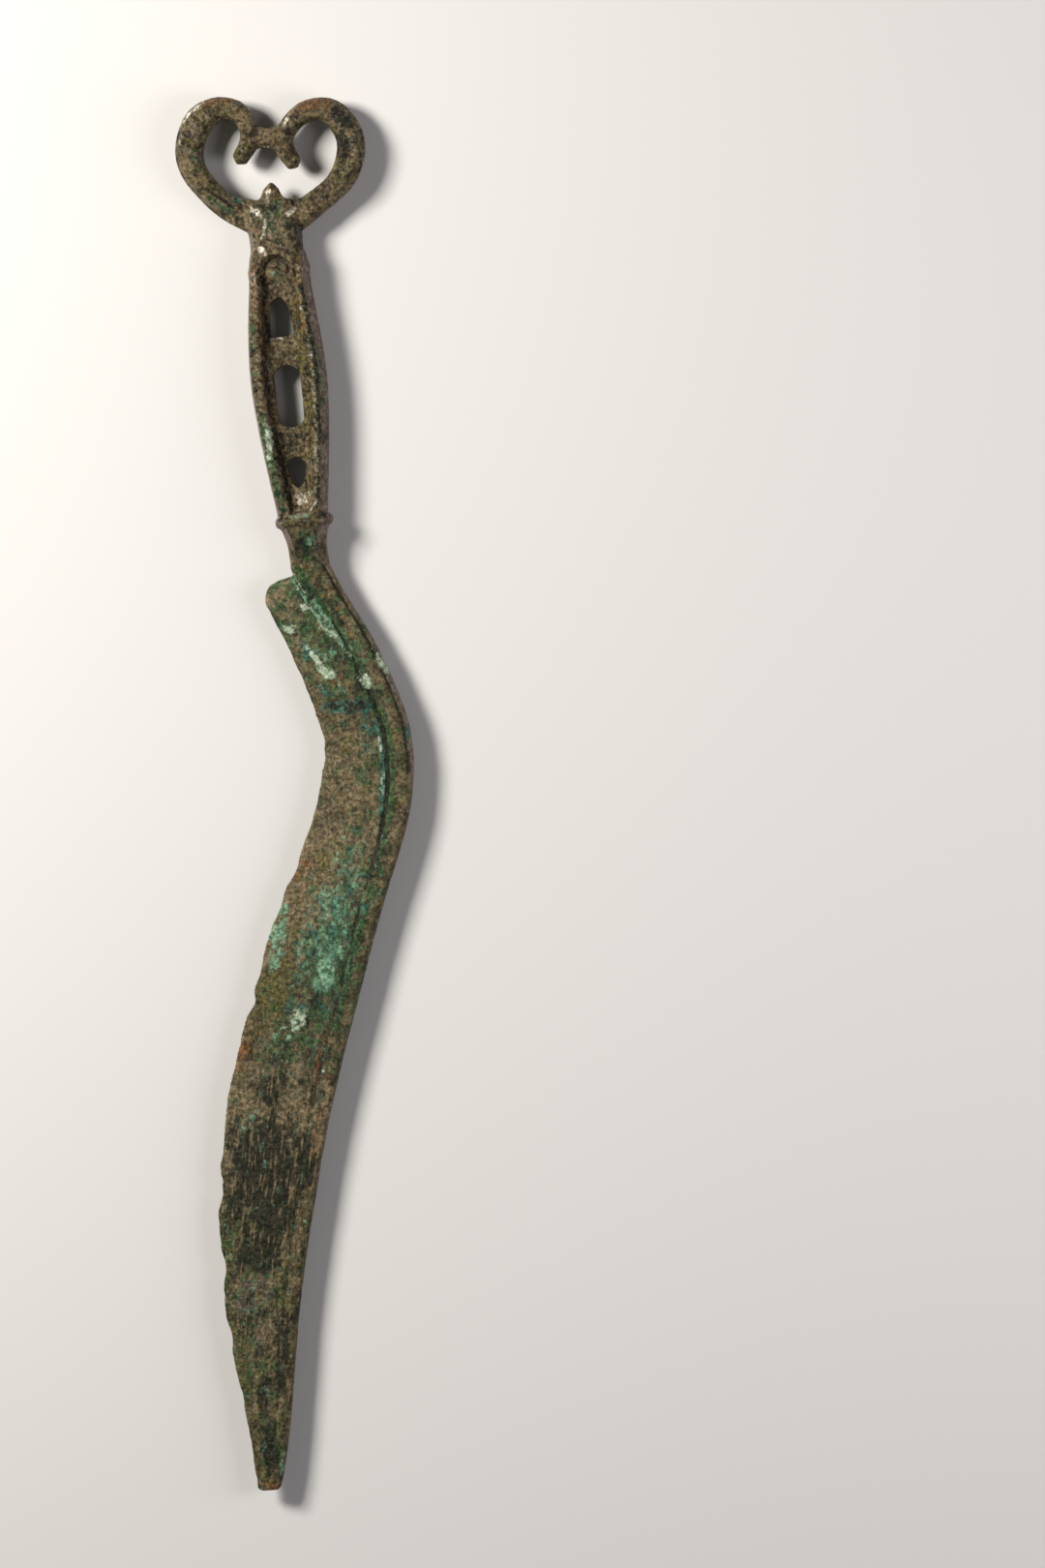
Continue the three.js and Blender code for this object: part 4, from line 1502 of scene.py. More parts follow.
HILT_BRONZE = BronzeFinish(
    name="hilt bronze",
    ground=(112, 98, 74), ground_dark=(42, 36, 25), worn=(180, 164, 138), hollow=(20, 16, 11),
    levels={Tone.TAN: 0.2, Tone.OLIVE: 0.25, Tone.RUST: 0.1, Tone.GREY: -0.05,
            Tone.GREEN: 0.1, Tone.TEAL: -0.05, Tone.DARK: 0.16, Tone.MINT: -0.1,
            Tone.CRUST: -0.1, Tone.BRIGHT: -0.15},
    grain=0.75, pitting=3.6, gloss=0.06, scratch=0.0, draw=1.0, sparkle=0.75,
)
BLADE_BRONZE = BronzeFinish(
    name="blade bronze",
    ground=(104, 94, 70), ground_dark=(50, 45, 31), worn=(128, 111, 86), hollow=(20, 26, 18),
    levels={Tone.TAN: 0.18, Tone.OLIVE: 0.1, Tone.RUST: 0.1, Tone.GREY: 0.05,
            Tone.GREEN: 0.14, Tone.TEAL: 0.04, Tone.DARK: 0.08, Tone.MINT: 0.0,
            Tone.CRUST: -0.15, Tone.BRIGHT: -0.5},
    grain=0.55, pitting=1.8, gloss=0.0, scratch=0.7, draw=1.7, sparkle=0.2,
)
RECESS_BRONZE = BronzeFinish(
    name="recess bronze",
    ground=(108, 96, 72), ground_dark=(54, 44, 30), worn=(140, 118, 90), hollow=(24, 23, 17),
    levels={Tone.TAN: 0.1, Tone.OLIVE: 0.2, Tone.RUST: 0.0, Tone.GREY: 0.1,
            Tone.GREEN: 0.1, Tone.TEAL: -0.05, Tone.DARK: 0.05, Tone.MINT: -0.1,
            Tone.CRUST: -0.15, Tone.BRIGHT: -0.2},
    grain=0.7, pitting=3.0, gloss=-0.02, scratch=0.0, draw=1.0, sparkle=0.5,
)
FINISHES = (HILT_BRONZE, BLADE_BRONZE, RECESS_BRONZE)


@dataclass(frozen=True)
class Dress:
    """What a piece is dressed in: its material slot in the record, and its finish here."""

    slot: str
    finish: BronzeFinish


HILT_DRESS = Dress("bronze", HILT_BRONZE)
BAND_DRESS = Dress("bronze", BLADE_BRONZE)
BLADE_DRESS = Dress("green_bronze", BLADE_BRONZE)
RECESS_DRESS = Dress("dark_bronze", RECESS_BRONZE)


class SubAssembly:
    """Pieces of the knife that are worked, cut and dressed together."""

    PIECES: dict[str, Dress] = {}

    def dress(self, node: str, saw: Saw, materials: dict[str, bpy.types.Material]) -> None:
        """Turns a cut part into an object that stands for its node.

        Args:
            node: The node.
            saw: Holds the cut parts.
            materials: The finished materials by name.
        """
        look = self.PIECES[node]
        part = saw.take((node,))
        mesh = bpy.data.meshes.new(f"cast_{node}")
        part.to_mesh(mesh)
        part.free()
        self._keep_normals(mesh)
        mesh.transform(saw.datum.to_frame())
        mesh.materials.append(materials[look.finish.name])
        piece = bpy.data.objects.new(f"cast_{node}", mesh)
        bpy.context.scene.collection.objects.link(piece)
        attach(piece, "root")
        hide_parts(node)
        LOG.info("%s: %d faces, slot %s", piece.name, len(mesh.polygons), look.slot)

    @staticmethod
    def _keep_normals(mesh: bpy.types.Mesh) -> None:
        """Shades a piece by the uncut casting's normals, so that no cut shows as a crease.

        Args:
            mesh: The piece, whose cut faces are the flat ones.
        """
        skin = read_all(mesh.attributes["casting_normal"].data, "vector", 3)
        flat = read_all(mesh.polygon_normals, "vector", 3)
        corner_vert = read_all(mesh.loops, "vertex_index", kind=np.int32)
        counts = read_all(mesh.polygons, "loop_total", kind=np.int32)
        smooth = read_all(mesh.polygons, "use_smooth", kind=bool)
        corner_smooth = np.repeat(smooth, counts)[:, None]
        corner_flat = np.repeat(flat, counts, axis=0)
        mesh.normals_split_custom_set(np.where(corner_smooth, skin[corner_vert], corner_flat))
        mesh.attributes.remove(mesh.attributes["casting_normal"])


Nodes = dict[str, bpy.types.Object]


@dataclass
class Blade(SubAssembly):
    """The blade: its plate with the cutting edge, and the thick band along its back.

    The plate and the band meet at the step line. Distances down the blade count from top, where
    the neck begins.
    """

    edge: Line
    back: Line
    step: Line
    top: float
    least_width: float = 1.0

    edge_wear: float = 0.2
    edge_waves: Unevenness = Unevenness(0.2, 2.2, 3)
    edge_reach: float = 5.0
    worn_from: Span = (2.0, 8.0)
    worn_to: Span = (181.0, 183.0)
    tip_reach: float = 0.9
    tip_bend: Span = (140.0, 185.0)

    relief_from: Span = (-1.0, 0.5)
    step_groove: Groove = Groove(-0.4, 0.6, 0.34)
    step_fade: Span = (10.0, 60.0)
    step_fade_depth: float = 0.24
    back_groove: Groove = Groove(-1.0, 0.3, 0.2)
    back_fade: Span = (30.0, 50.0)
    band_crown: Groove = Groove(0.0, 1.2, 0.3)
    neck_lines: tuple[Groove, ...] = (Groove(-1.35, 0.24, 0.14), Groove(-2.1, 0.24, 0.1))
    neck_lines_from: Span = (-0.4, 0.8)
    neck_lines_to: Span = (11.0, 15.0)

    PIECES = {"blade_plate": BLADE_DRESS, "blade_back": BAND_DRESS}

    @classmethod
    def from_frame(cls, datum: Datum, nodes: Nodes) -> "Blade":
        """Reads the blade's lines and its top from the frame.

        Args:
            datum: Turns the frame's places into millimetres.
            nodes: The frame's nodes by name.

        Returns:
            The blade.
        """
        plate = datum.to_mm(nodes["blade_plate"])
        band = datum.to_mm(nodes["blade_back"])
        return cls(
            edge=Line.along(plate, Side.EDGE),
            back=Line.along(band, Side.BACK),
            step=Line.along(band, Side.EDGE),
            top=datum.box("blade_back")[1][1],
        )

    def down(self, points: Array) -> Array:
        """Gives each point's distance down the blade from the neck."""
        return self.top - points[:, 1]

    def across(self, points: Array) -> Array:
        """Gives each point's share of the way from the cutting edge to the back.

        Args:
            points: Places as rows of three numbers.

        Returns:
            0 at the cutting edge and 1 at the back.
        """
        edge = self.edge.at(points[:, 1])
        back = self.back.at(points[:, 1])
        return (points[:, 0] - edge) / np.maximum(back - edge, self.least_width)

    def wear_edge(self, skin: Skin) -> None:
        """Eats the cutting edge back, deepest at its nicks, and lets the tip reach out.

        Args:
            skin: The casting's skin.
        """
        down = self.down(skin.points)
        along = skin.points * (0.0, 1.0, 0.0)
        depth = np.full(len(down), self.edge_wear)
        depth += self.edge_waves.at(skin.noise, along)
        for nick in NICKS:
            depth += nick.depth * bump(down - nick.down, nick.half_length)
        inside = skin.points[:, 0] - self.edge.at(skin.points[:, 1])
        share = np.clip(1.0 - inside / self.edge_reach, 0.0, 1.0) ** 2
        worn = smooth_ramp(down, *self.worn_from) * (1.0 - smooth_ramp(down, *self.worn_to))
        skin.points[:, 0] += np.where(down > self.worn_from[0], depth * share * worn, 0.0)
        skin.points[:, 1] -= self.tip_reach * smooth_ramp(down, *self.tip_bend)

    def carve(self, relief: Relief) -> None:
        """Cuts the lines along the step and the back, and crowns the band between them.

        Args:
            relief: What is laid on the skin.
        """
        x, y = relief.points[:, 0], relief.points[:, 1]
        down = self.down(relief.points)
        facing = relief.facing
        on_blade = smooth_ramp(down, *self.relief_from)
        step, back = self.step.at(y), self.back.at(y)

        groove = self.step_groove
        depth = groove.depth - self.step_fade_depth * smooth_ramp(down, *self.step_fade)
        relief.height -= depth * on_blade * facing * groove.mark(x, step)

        near = on_blade * (1.0 - smooth_ramp(down, *self.back_fade))
        groove, crown = self.back_groove, self.band_crown
        relief.height -= groove.depth * near * facing * groove.mark(x, back)
        relief.height += crown.depth * near * facing * crown.mark(x, 0.5 * (step + back))

        near = smooth_ramp(down, *self.neck_lines_from)
        near *= 1.0 - smooth_ramp(down, *self.neck_lines_to)
        for groove in self.neck_lines:
            relief.height -= groove.depth * near * facing * groove.mark(x, step)

    def divide(self, saw: Saw) -> None:
        """Cuts the plate from the band."""
        saw.along(self.PIECES, self.step.at)


@dataclass
class Stem(SubAssembly):
    """The waisted neck, and the collar round its top with a groove and two small pits."""

    low: float
    high: float

    groove_up: float = 1.0
    groove_half_width: float = 0.55
    groove_depth: float = 0.42
    groove_ends: Span = (3.4, 4.6)
    pit_places: tuple[Place, ...] = ((-4.2, 0.8), (4.3, 0.8))
    pit_depth: float = 0.6
    pit_area: float = 0.5

    PIECES = {"neck": BLADE_DRESS, "collar": HILT_DRESS}

    @classmethod
    def from_frame(cls, datum: Datum) -> "Stem":
        """Reads the collar's levels from the frame."""
        low, high = datum.box("collar")
        return cls(low=low[1], high=high[1])

    def carve(self, relief: Relief) -> None:
        """Cuts the groove round the collar and the pits at its ends.

        Args:
            relief: What is laid on the skin.
        """
        x, y = relief.points[:, 0], relief.points[:, 1]
        groove = bump(y - self.groove_up, self.groove_half_width)
        groove_ends = 1.0 - smooth_ramp(np.abs(x), *self.groove_ends)
        relief.height -= self.groove_depth * relief.facing * groove * groove_ends
        for aside, up in self.pit_places:
            gap_squared = (x - aside) ** 2 + (y - up) ** 2
            relief.height -= self.pit_depth * np.exp(-gap_squared / self.pit_area)


@dataclass
class Grip(SubAssembly):
    """The grip: two bowed rails, and the thin webs and bars between them.

    Each rail's section runs from its inner side to its outer one. The recess between the rails
    ends in an arch below the throat. Spans count from the grip's top, where they aren't widths.
    """

    low: float
    top: float
    channel_edge: Line
    channel_back: Line
    rail_edge: Line
    rail_back: Line

    edge_section: Section = Section(
        (0.0, 0.24, 0.38, 0.46, 0.6, 0.88, 0.95, 1.0),
        (0.32, 0.44, 0.86, 0.98, 1.0, 0.98, 0.8, 0.4))
    back_section: Section = Section(
        (0.0, 0.2, 0.5, 0.58, 0.7, 0.8, 1.0),
        (0.3, 0.48, 0.94, 1.0, 0.98, 0.82, 0.36))
    section_low: Span = (1.0, 5.0)
    section_high: Span = (-5.0, -1.0)

    arch_middle: Place = (-0.1, 50.0)
    arch_reach: Span = (2.7, 3.0)
    arch_rim: Span = (1.0, 1.35)
    arch_from: Span = (-5.0, -3.0)
    floor_height: float = 0.9
    floor_rise: float = 1.2
    floor_slope: Span = (-6.5, -2.5)
    face_height: float = 3.05
    head_sides: Span = (3.6, 4.4)
    head_from: Span = (-7.0, -5.0)
    head_to: Span = (0.4, 1.4)
    groove_depth: float = 0.4
    groove_half_width: float = 0.14
    groove_from: Span = (-5.0, -3.6)
    groove_to: float = 1.0

    corner: Place = (4.6, 0.0)
    corner_radius: float = 3.4
    shoulder_height: float = 0.2
    shoulder_drop: float = 3.6
    shoulder_half_length: float = 1.1
    shoulder_aside: float = 4.0
    cut_shift: float = 0.6

    PIECES = {
        "grip_rail_edge_side": HILT_DRESS,
        "grip_rail_back_side": HILT_DRESS,
        "grip_web_lower": RECESS_DRESS,
        "grip_bar_lower": RECESS_DRESS,
        "grip_bar_upper": RECESS_DRESS,
        "grip_web_upper": RECESS_DRESS,
    }

    @classmethod
    def from_frame(cls, datum: Datum, nodes: Nodes) -> "Grip":
        """Reads the grip's levels and the rails' lines from the frame.

        Args:
            datum: Turns the frame's places into millimetres.
            nodes: The frame's nodes by name.

        Returns:
            The grip.
        """
        edge_side = datum.to_mm(nodes["grip_rail_edge_side"])
        back_side = datum.to_mm(nodes["grip_rail_back_side"])
        return cls(
            low=datum.box("collar")[1][1],
            top=datum.box("pommel_throat")[0][1],
            channel_edge=Line.along(edge_side, Side.BACK),
            channel_back=Line.along(back_side, Side.EDGE),
            rail_edge=Line.along(edge_side, Side.EDGE),
            rail_back=Line.along(back_side, Side.BACK),
        )

    def form(self, skin: Skin) -> None:
        """Facets the rails and arches the head of the recess.

        Args:
            skin: The casting's skin.
        """
        x, y = skin.points[:, 0], skin.points[:, 1]
        weight = rise(y, self.low, self.section_low)
        weight *= 1.0 - rise(y, self.top, self.section_high)
        for inner, outer, section in (
            (self.channel_edge, self.rail_edge, self.edge_section),
            (self.channel_back, self.rail_back, self.back_section),
        ):
            inside = inner.at(y)
            skin.reprofile((x - inside) / (outer.at(y) - inside), y, weight, section)
        self._arch_head(skin)

    def _reach(self, points: Array) -> Array:
        """Measures each point's reach from the middle of the arch.

        Args:
            points: Places as rows of three numbers.

        Returns:
            0 in the middle and 1 at the arch.
        """
        x = (points[:, 0] - self.arch_middle[0]) / self.arch_reach[0]
        y = np.maximum(points[:, 1] - self.arch_middle[1], 0.0) / self.arch_reach[1]
        return np.hypot(x, y)

    def _arch_head(self, skin: Skin) -> None:
        """Closes the recess with an arch, and lets its floor rise towards it.

        Args:
            skin: The casting's skin.
        """
        x, y, z = skin.points.T
        outside = smooth_ramp(self._reach(skin.points), *self.arch_rim)
        outside *= rise(y, self.top, self.arch_from)
        floor = self.floor_height + self.floor_rise * rise(y, self.top, self.floor_slope)
        target = floor + outside * (self.face_height - floor)
        weight = 1.0 - smooth_ramp(np.abs(x), *self.head_sides)
        weight *= rise(y, self.top, self.head_from) * (1.0 - rise(y, self.top, self.head_to))
        skin.points[:, 2] += np.sign(z) * weight * (target - np.abs(z))

    def fillets(self) -> tuple[Fillet, ...]:
        """Lists the corners where the rails meet the throat."""
        aside, up = self.corner
        return tuple(Fillet((way * aside, self.top + up), self.corner_radius) for way in (-1, 1))

    def carve(self, relief: Relief) -> None:
        """Cuts a groove along the arch, and swells the rails' sides below the throat.

        Args:
            relief: What is laid on the skin.
        """
        x, y = relief.points[:, 0], relief.points[:, 1]
        arch = bump(self._reach(relief.points) - 1.0, self.groove_half_width)
        near = rise(y, self.top, self.groove_from)
        below = y < self.top + self.groove_to
        relief.height -= self.groove_depth * relief.facing * arch * near * below
        shoulder = bump(y - self.top + self.shoulder_drop, self.shoulder_half_length)
        outside = np.abs(x) > self.shoulder_aside
        relief.height += self.shoulder_height * (1.0 - relief.facing) * shoulder * outside

    def divide(self, saw: Saw) -> None:
        """Cuts both rails from the webs and bars.

        Args:
            saw: Holds the grip as one part.
        """
        pieces = list(self.PIECES)
        saw.along(pieces, lambda level: self.channel_edge.at(level) + self.cut_shift)
        saw.along(pieces[1:], lambda level: self.channel_back.at(level) - self.cut_shift)


@dataclass
class Pommel(SubAssembly):
    """The pommel: a throat that divides into the two arms of a heart-shaped ring.

    The arms curl in to stubs that a bridge ties together, and a peg stands on the throat. The
    ring's section runs from an arm's inner side to its outer one.
    """

    grip_top: float
    throat_sides: Span
    peg_foot: float
    bridge_ends: Span

    throat_section: Section = Section((0.0, 0.1, 0.5, 1.0), (0.45, 0.7, 1.0, 0.97))
    throat_from: Span = (-0.5, 3.0)
    throat_to: Span = (-2.5, 1.0)
    arm_section: Section = Section(
        (0.0, 0.1, 0.25, 0.55, 0.78, 0.9, 1.0), (0.3, 0.72, 0.9, 0.97, 1.0, 0.74, 0.3))
    ring_drop: float = 8.0
    ring_radius: float = 11.0
    ring_middles: tuple[tuple[Side, Place], ...] = (
        (Side.EDGE, (-9.0, 75.5)), (Side.BACK, (9.5, 74.0)))
    arm_from: Span = (6.5, 8.0)
    arm_aside: Span = (5.5, 9.0)
    rim_steepness: float = 0.3
    rim_height: float = 0.5
    batch: int = 2000

    shoulder_up: float = 10.0
    shoulder_radius: float = 5.0
    peg_fillet_up: float = 0.6
    peg_fillet_radius: float = 2.2
    bridge_up: float = 78.0
    bridge_fillet_radius: float = 2.0
    stub_fillets: tuple[Fillet, ...] = (Fillet((-6.0, 74.2), 1.8), Fillet((6.0, 71.8), 1.8))

    arm_cut: float = 0.8
    arm_window: Span = (0.0, 16.0)
    bridge_cut: float = 0.4
    bridge_window: Span = (74.0, 82.0)
    peg_cut: float = 0.7
    peg_window: Span = (-3.2, 3.2)

    PIECES = dict.fromkeys(("pommel_throat", "pommel_peg", "pommel_scroll_edge_side",
                            "pommel_scroll_back_side", "pommel_bridge"), HILT_DRESS)

    @classmethod
    def from_frame(cls, datum: Datum) -> "Pommel":
        """Reads the throat's, the peg's and the bridge's places from the frame.

        Args:
            datum: Turns the frame's places into millimetres.

        Returns:
            The pommel.
        """
        throat_low, throat_high = datum.box("pommel_throat")
        bridge_low, bridge_high = datum.box("pommel_bridge")
        return cls(
            grip_top=throat_low[1],
            throat_sides=(throat_low[0], throat_high[0]),
            peg_foot=datum.box("pommel_peg")[0][1],
            bridge_ends=(bridge_low[0], bridge_high[0]),
        )

    def form(self, skin: Skin) -> None:
        """Gives the throat its flat panel and side facets, and each arm its ridge.

        Args:
            skin: The casting's skin.
        """
        x, y = skin.points[:, 0], skin.points[:, 1]
        low, high = self.throat_sides
        weight = rise(y, self.grip_top, self.throat_from)
        weight *= 1.0 - rise(y, self.peg_foot, self.throat_to)
        inward = 1.0 - np.minimum(np.abs(x - 0.5 * (low + high)) / (0.5 * (high - low)), 1.0)
        skin.reprofile(inward, y, weight, self.throat_section)
        self._ridge_arms(skin)

    def _ridge_arms(self, skin: Skin) -> None:
        """Gives each arm a wide inner face, a ridge and a steep outer face.

        Args:
            skin: The casting's skin.
        """
        ring = np.flatnonzero(skin.points[:, 1] > self.peg_foot - self.ring_drop)
        flat = skin.points[ring, :2]
        steep = np.abs(skin.normals()[ring, 2]) < self.rim_steepness
        rim = flat[steep & (np.abs(skin.points[ring, 2]) < self.rim_height)]
        for side, centre in self.ring_middles:
            middle = np.array(centre)
            chosen = side.value * flat[:, 0] > 0.0
            place = flat[chosen]
            offset = place - middle
            full = np.full(len(skin.points), -1.0)
            along = np.zeros(len(skin.points))
            weight = np.zeros(len(skin.points))
            arm = ring[chosen]
            full[arm] = self._share_across(place, rim, middle)
            along[arm] = np.arctan2(offset[:, 1], offset[:, 0]) * self.ring_radius
            weight[arm] = smooth_ramp(np.linalg.norm(offset, axis=1), *self.arm_from)
            weight[arm] *= smooth_ramp(np.abs(place[:, 0]), *self.arm_aside)
            skin.reprofile(full, along, weight, self.arm_section)

    def _share_across(self, place: Array, rim: Array, middle: Array) -> Array:
        """Finds how far across an arm each place lies.

        Args:
            place: Places on the arm, as x and y.
            rim: Points of the arms' outline.
            middle: The middle that the arm curls round.

        Returns:
            0 at the arm's inner outline, 1 at its outer one.
        """
        shares = np.empty(len(place))
        rim_radius = np.linalg.norm(rim - middle, axis=1)
        for start in range(0, len(place), self.batch):
            some = place[start:start + self.batch]
            gap = np.linalg.norm(some[:, None, :] - rim[None, :, :], axis=2)
            beyond = rim_radius[None, :] > np.linalg.norm(some - middle, axis=1)[:, None]
            outer = np.where(beyond, gap, np.inf).min(axis=1)
            inner = np.where(beyond, np.inf, gap).min(axis=1)
            shares[start:start + self.batch] = inner / np.maximum(inner + outer, TINY)
        return shares

    def fillets(self) -> tuple[Fillet, ...]:
        """Lists the roots of the ring, the peg, the bridge and the stubs.

        Returns:
            Their fillets.
        """
        shoulder = self.grip_top + self.shoulder_up
        return (
            *(Fillet((x, shoulder), self.shoulder_radius) for x in self.throat_sides),
            Fillet((0.0, self.peg_foot + self.peg_fillet_up), self.peg_fillet_radius),
            *(Fillet((x, self.bridge_up), self.bridge_fillet_radius) for x in self.bridge_ends),
            *self.stub_fillets,
        )

    def carve(self, relief: Relief) -> None:
        """Lays the forked ridge and the small grooves on the throat."""
        for ridge in THROAT_RIDGES:
            relief.height += relief.facing * ridge.height_at(relief.points)

    def divide(self, saw: Saw) -> None:
        """Parts the ring's arms, the bridge and the peg from the throat.

        Args:
            saw: Holds the pommel as one part.
        """
        part = saw.take(self.PIECES)
        low, high = self.throat_sides
        window = (self.grip_top + self.arm_window[0], self.grip_top + self.arm_window[1])
        for x in (low - self.arm_cut, high + self.arm_cut):
            saw.inside(part, saw.ASIDE, x, window)
        low, high = self.bridge_ends
        for x in (low + self.bridge_cut, high - self.bridge_cut):
            saw.inside(part, saw.ASIDE, x, self.bridge_window)
        saw.inside(part, saw.UP, self.peg_foot + self.peg_cut, self.peg_window)
        saw.put_back(part)


@dataclass
class Corrosion:
    """Where each tone of the patina and the painted highlights lie on the skin, and how the
    corrosion roughens it.
    """

    blade: Blade
    grip: Grip
    skin: Skin

    ragged: tuple[Unevenness, ...] = (Unevenness(0.5, 2.4, 3), Unevenness(0.3, 0.8, 2))
    patch_gain: float = 0.9
    patch_rim: Span = (0.0, 1.7)
    streak_rim: Span = (0.6, 1.3)
    streak_calm: float = 0.5
    overlap: float = 0.5

    side_grey: float = 0.9
    side_slope: Span = (0.45, 0.75)
    side_to_blade: Span = (35.0, 60.0)
    side_to_pommel: float = 8.0
    side_on_grip: Span = (0.0, 1.0)
    side_depth: Span = (1.4, 2.0)

    swell: Unevenness = Unevenness(0.07, 5.0, 2)
    grain: Unevenness = Unevenness(0.045, 0.9, 2)
    pit_scatter: int = 3
    pit_gap: float = 2.4
    pit_depth: float = 0.14
    pit_rim: Span = (0.1, 0.34)
    pit_fields: Unevenness = Unevenness(1.0, 6.0, 2)
    pit_fields_rim: Span = (-0.1, 0.5)
    hilt_pitting: float = 0.35
    crust_height: float = 0.14
    mint_height: float = 0.07

    crest_rise: Span = (0.05, 0.26)
    hollow_drop: Span = (0.05, 0.28)
    relief_rounds: int = 3
    blade_crest_loss: float = 0.65
    blade_hollow_loss: float = 0.5
    blade_hollow_from: float = 12.0
    blade_from: Span = (0.0, 3.0)
    scratch_least: float = 0.15
    scratch_from: Span = (88.0, 108.0)
    scratch_to: Span = (140.0, 180.0)

    tones: dict[Tone, Array] = field(default_factory=dict)

    def lay_tones(self) -> None:
        """Works out where each tone of the patina lies, and where highlights and shade are
        painted.
        """
        points = self.skin.points
        y = points[:, 1]
        ragged = sum(layer.at(self.skin.noise, points) for layer in self.ragged)
        down, across = self.blade.down(points), self.blade.across(points)
        self.tones = {tone: np.zeros(len(points)) for tone in Tone}
        self.tones[Tone.GREY] = self.side_grey * self._sides(down)
        on_blade, on_hilt = down > -self.overlap, down < self.overlap
        for tone, patches in BLADE_PATCHES.items():
            for patch in patches:
                reach = patch.reach(down, across) + ragged
                self._lay(tone, patch.strength * self.patch_gain, reach, self.patch_rim, on_blade)
        for tone, patches in HILT_PATCHES.items():
            for patch in patches:
                reach = patch.reach(points) + ragged
                self._lay(tone, patch.strength * self.patch_gain, reach, self.patch_rim, on_hilt)
        on_grip = y > self.grip.low
        guides = {
            Guide.STEP: (self.blade.step, down, on_blade),
            Guide.BACK: (self.blade.back, down, on_blade),
            Guide.RAIL_EDGE: (self.grip.rail_edge, y, on_grip),
            Guide.RAIL_BACK: (self.grip.rail_back, y, on_grip),
        }
        for tone, streaks in STREAKS.items():
            for streak in streaks:
                line, along, allowed = guides[streak.guide]
                from_guide = points[:, 0] - line.at(y)
                reach = streak.reach(along, from_guide) + self.streak_calm * ragged
                self._lay(tone, streak.strength, reach, self.streak_rim, allowed)

    def _lay(self, tone: Tone, strength: float, reach: Array, rim: Span, allowed: Array) -> None:
        """Lays one patch or streak, where it is stronger than what lies there."""
        mask = strength * (1.0 - smooth_ramp(reach, *rim)) * allowed
        self.tones[tone] = np.maximum(self.tones[tone], mask)

    def _sides(self, down: Array) -> Array:
        """Finds the upright sides of the upper blade and the grip, without the windows' sides.

        Args:
            down: Each point's distance down the blade.

        Returns:
            1 on the sides and 0 elsewhere.
        """
        grip = self.grip
        x, y = self.skin.points[:, 0], self.skin.points[:, 1]
        upright = 1.0 - smooth_ramp(np.abs(self.skin.normals()[:, 2]), *self.side_slope)
        side = upright * (1.0 - smooth_ramp(down, *self.side_to_blade))
        side *= y < grip.top + self.side_to_pommel
        inward = np.minimum(x - grip.rail_edge.at(y), grip.rail_back.at(y) - x)
        on_grip = rise(y, grip.low, self.side_on_grip)
        side *= 1.0 - on_grip * smooth_ramp(inward, *self.side_depth)
        return side

    def roughen(self) -> Relief:
        """Starts the relief with the corrosion's swelling, grain, pits and crusts.

        Returns:
            What is laid on the skin so far.
        """
        points, noise = self.skin.points, self.skin.noise
        normals = self.skin.normals()
        height = self.swell.at(noise, points)
        height += self.grain.at(noise, points)
        from_pit = cell_distance(points, self.pit_gap, self.pit_scatter)
        pits = 1.0 - smooth_ramp(from_pit, *self.pit_rim)
        fields = smooth_ramp(self.pit_fields.at(noise, points), *self.pit_fields_rim)
        on_blade = smooth_ramp(self.blade.down(points), *self.blade.relief_from)
        strength = self.hilt_pitting + (1.0 - self.hilt_pitting) * on_blade
        height -= self.pit_depth * pits * fields * strength
        height += self.crust_height * self.tones[Tone.CRUST]
        height += self.mint_height * self.tones[Tone.MINT]
        return Relief(points, normals, np.abs(normals[:, 2]), height)

    def masks(self) -> dict[str, Array]:
        """Makes the masks that the materials read, from the finished skin.

        Returns:
            One number for each point, by the mask's name.
        """
        crest, hollow = self._crests_and_hollows()
        down = self.blade.down(self.skin.points)
        on_blade = smooth_ramp(down, *self.blade_from)
        crest *= 1.0 - self.blade_crest_loss * on_blade
        hollow *= 1.0 - self.blade_hollow_loss * on_blade * (down > self.blade_hollow_from)
        scratched = (1.0 - self.scratch_least) * smooth_ramp(down, *self.scratch_from)
        scratched *= 1.0 - smooth_ramp(down, *self.scratch_to)
        scratched = (self.scratch_least + scratched) * on_blade
        masks = {f"tone_{tone.value}": mask for tone, mask in self.tones.items()}
        return masks | {"crest": crest, "hollow": hollow, "scratched": scratched}

    def _crests_and_hollows(self) -> tuple[Array, Array]:
        """Finds the crests and the hollows of the finished skin.

        Returns:
            Two masks from 0 to 1: crests, then hollows.
        """
        skin = self.skin
        pull = skin.neighbour_mean(skin.points) - skin.points
        bend = np.sum(pull * skin.normals(), axis=1)[:, None]
        for _ in range(self.relief_rounds):
            bend = 0.5 * bend + 0.5 * skin.neighbour_mean(bend)
        bend = bend[:, 0] / skin.voxel
        return smooth_ramp(-bend, *self.crest_rise), smooth_ramp(bend, *self.hollow_drop)


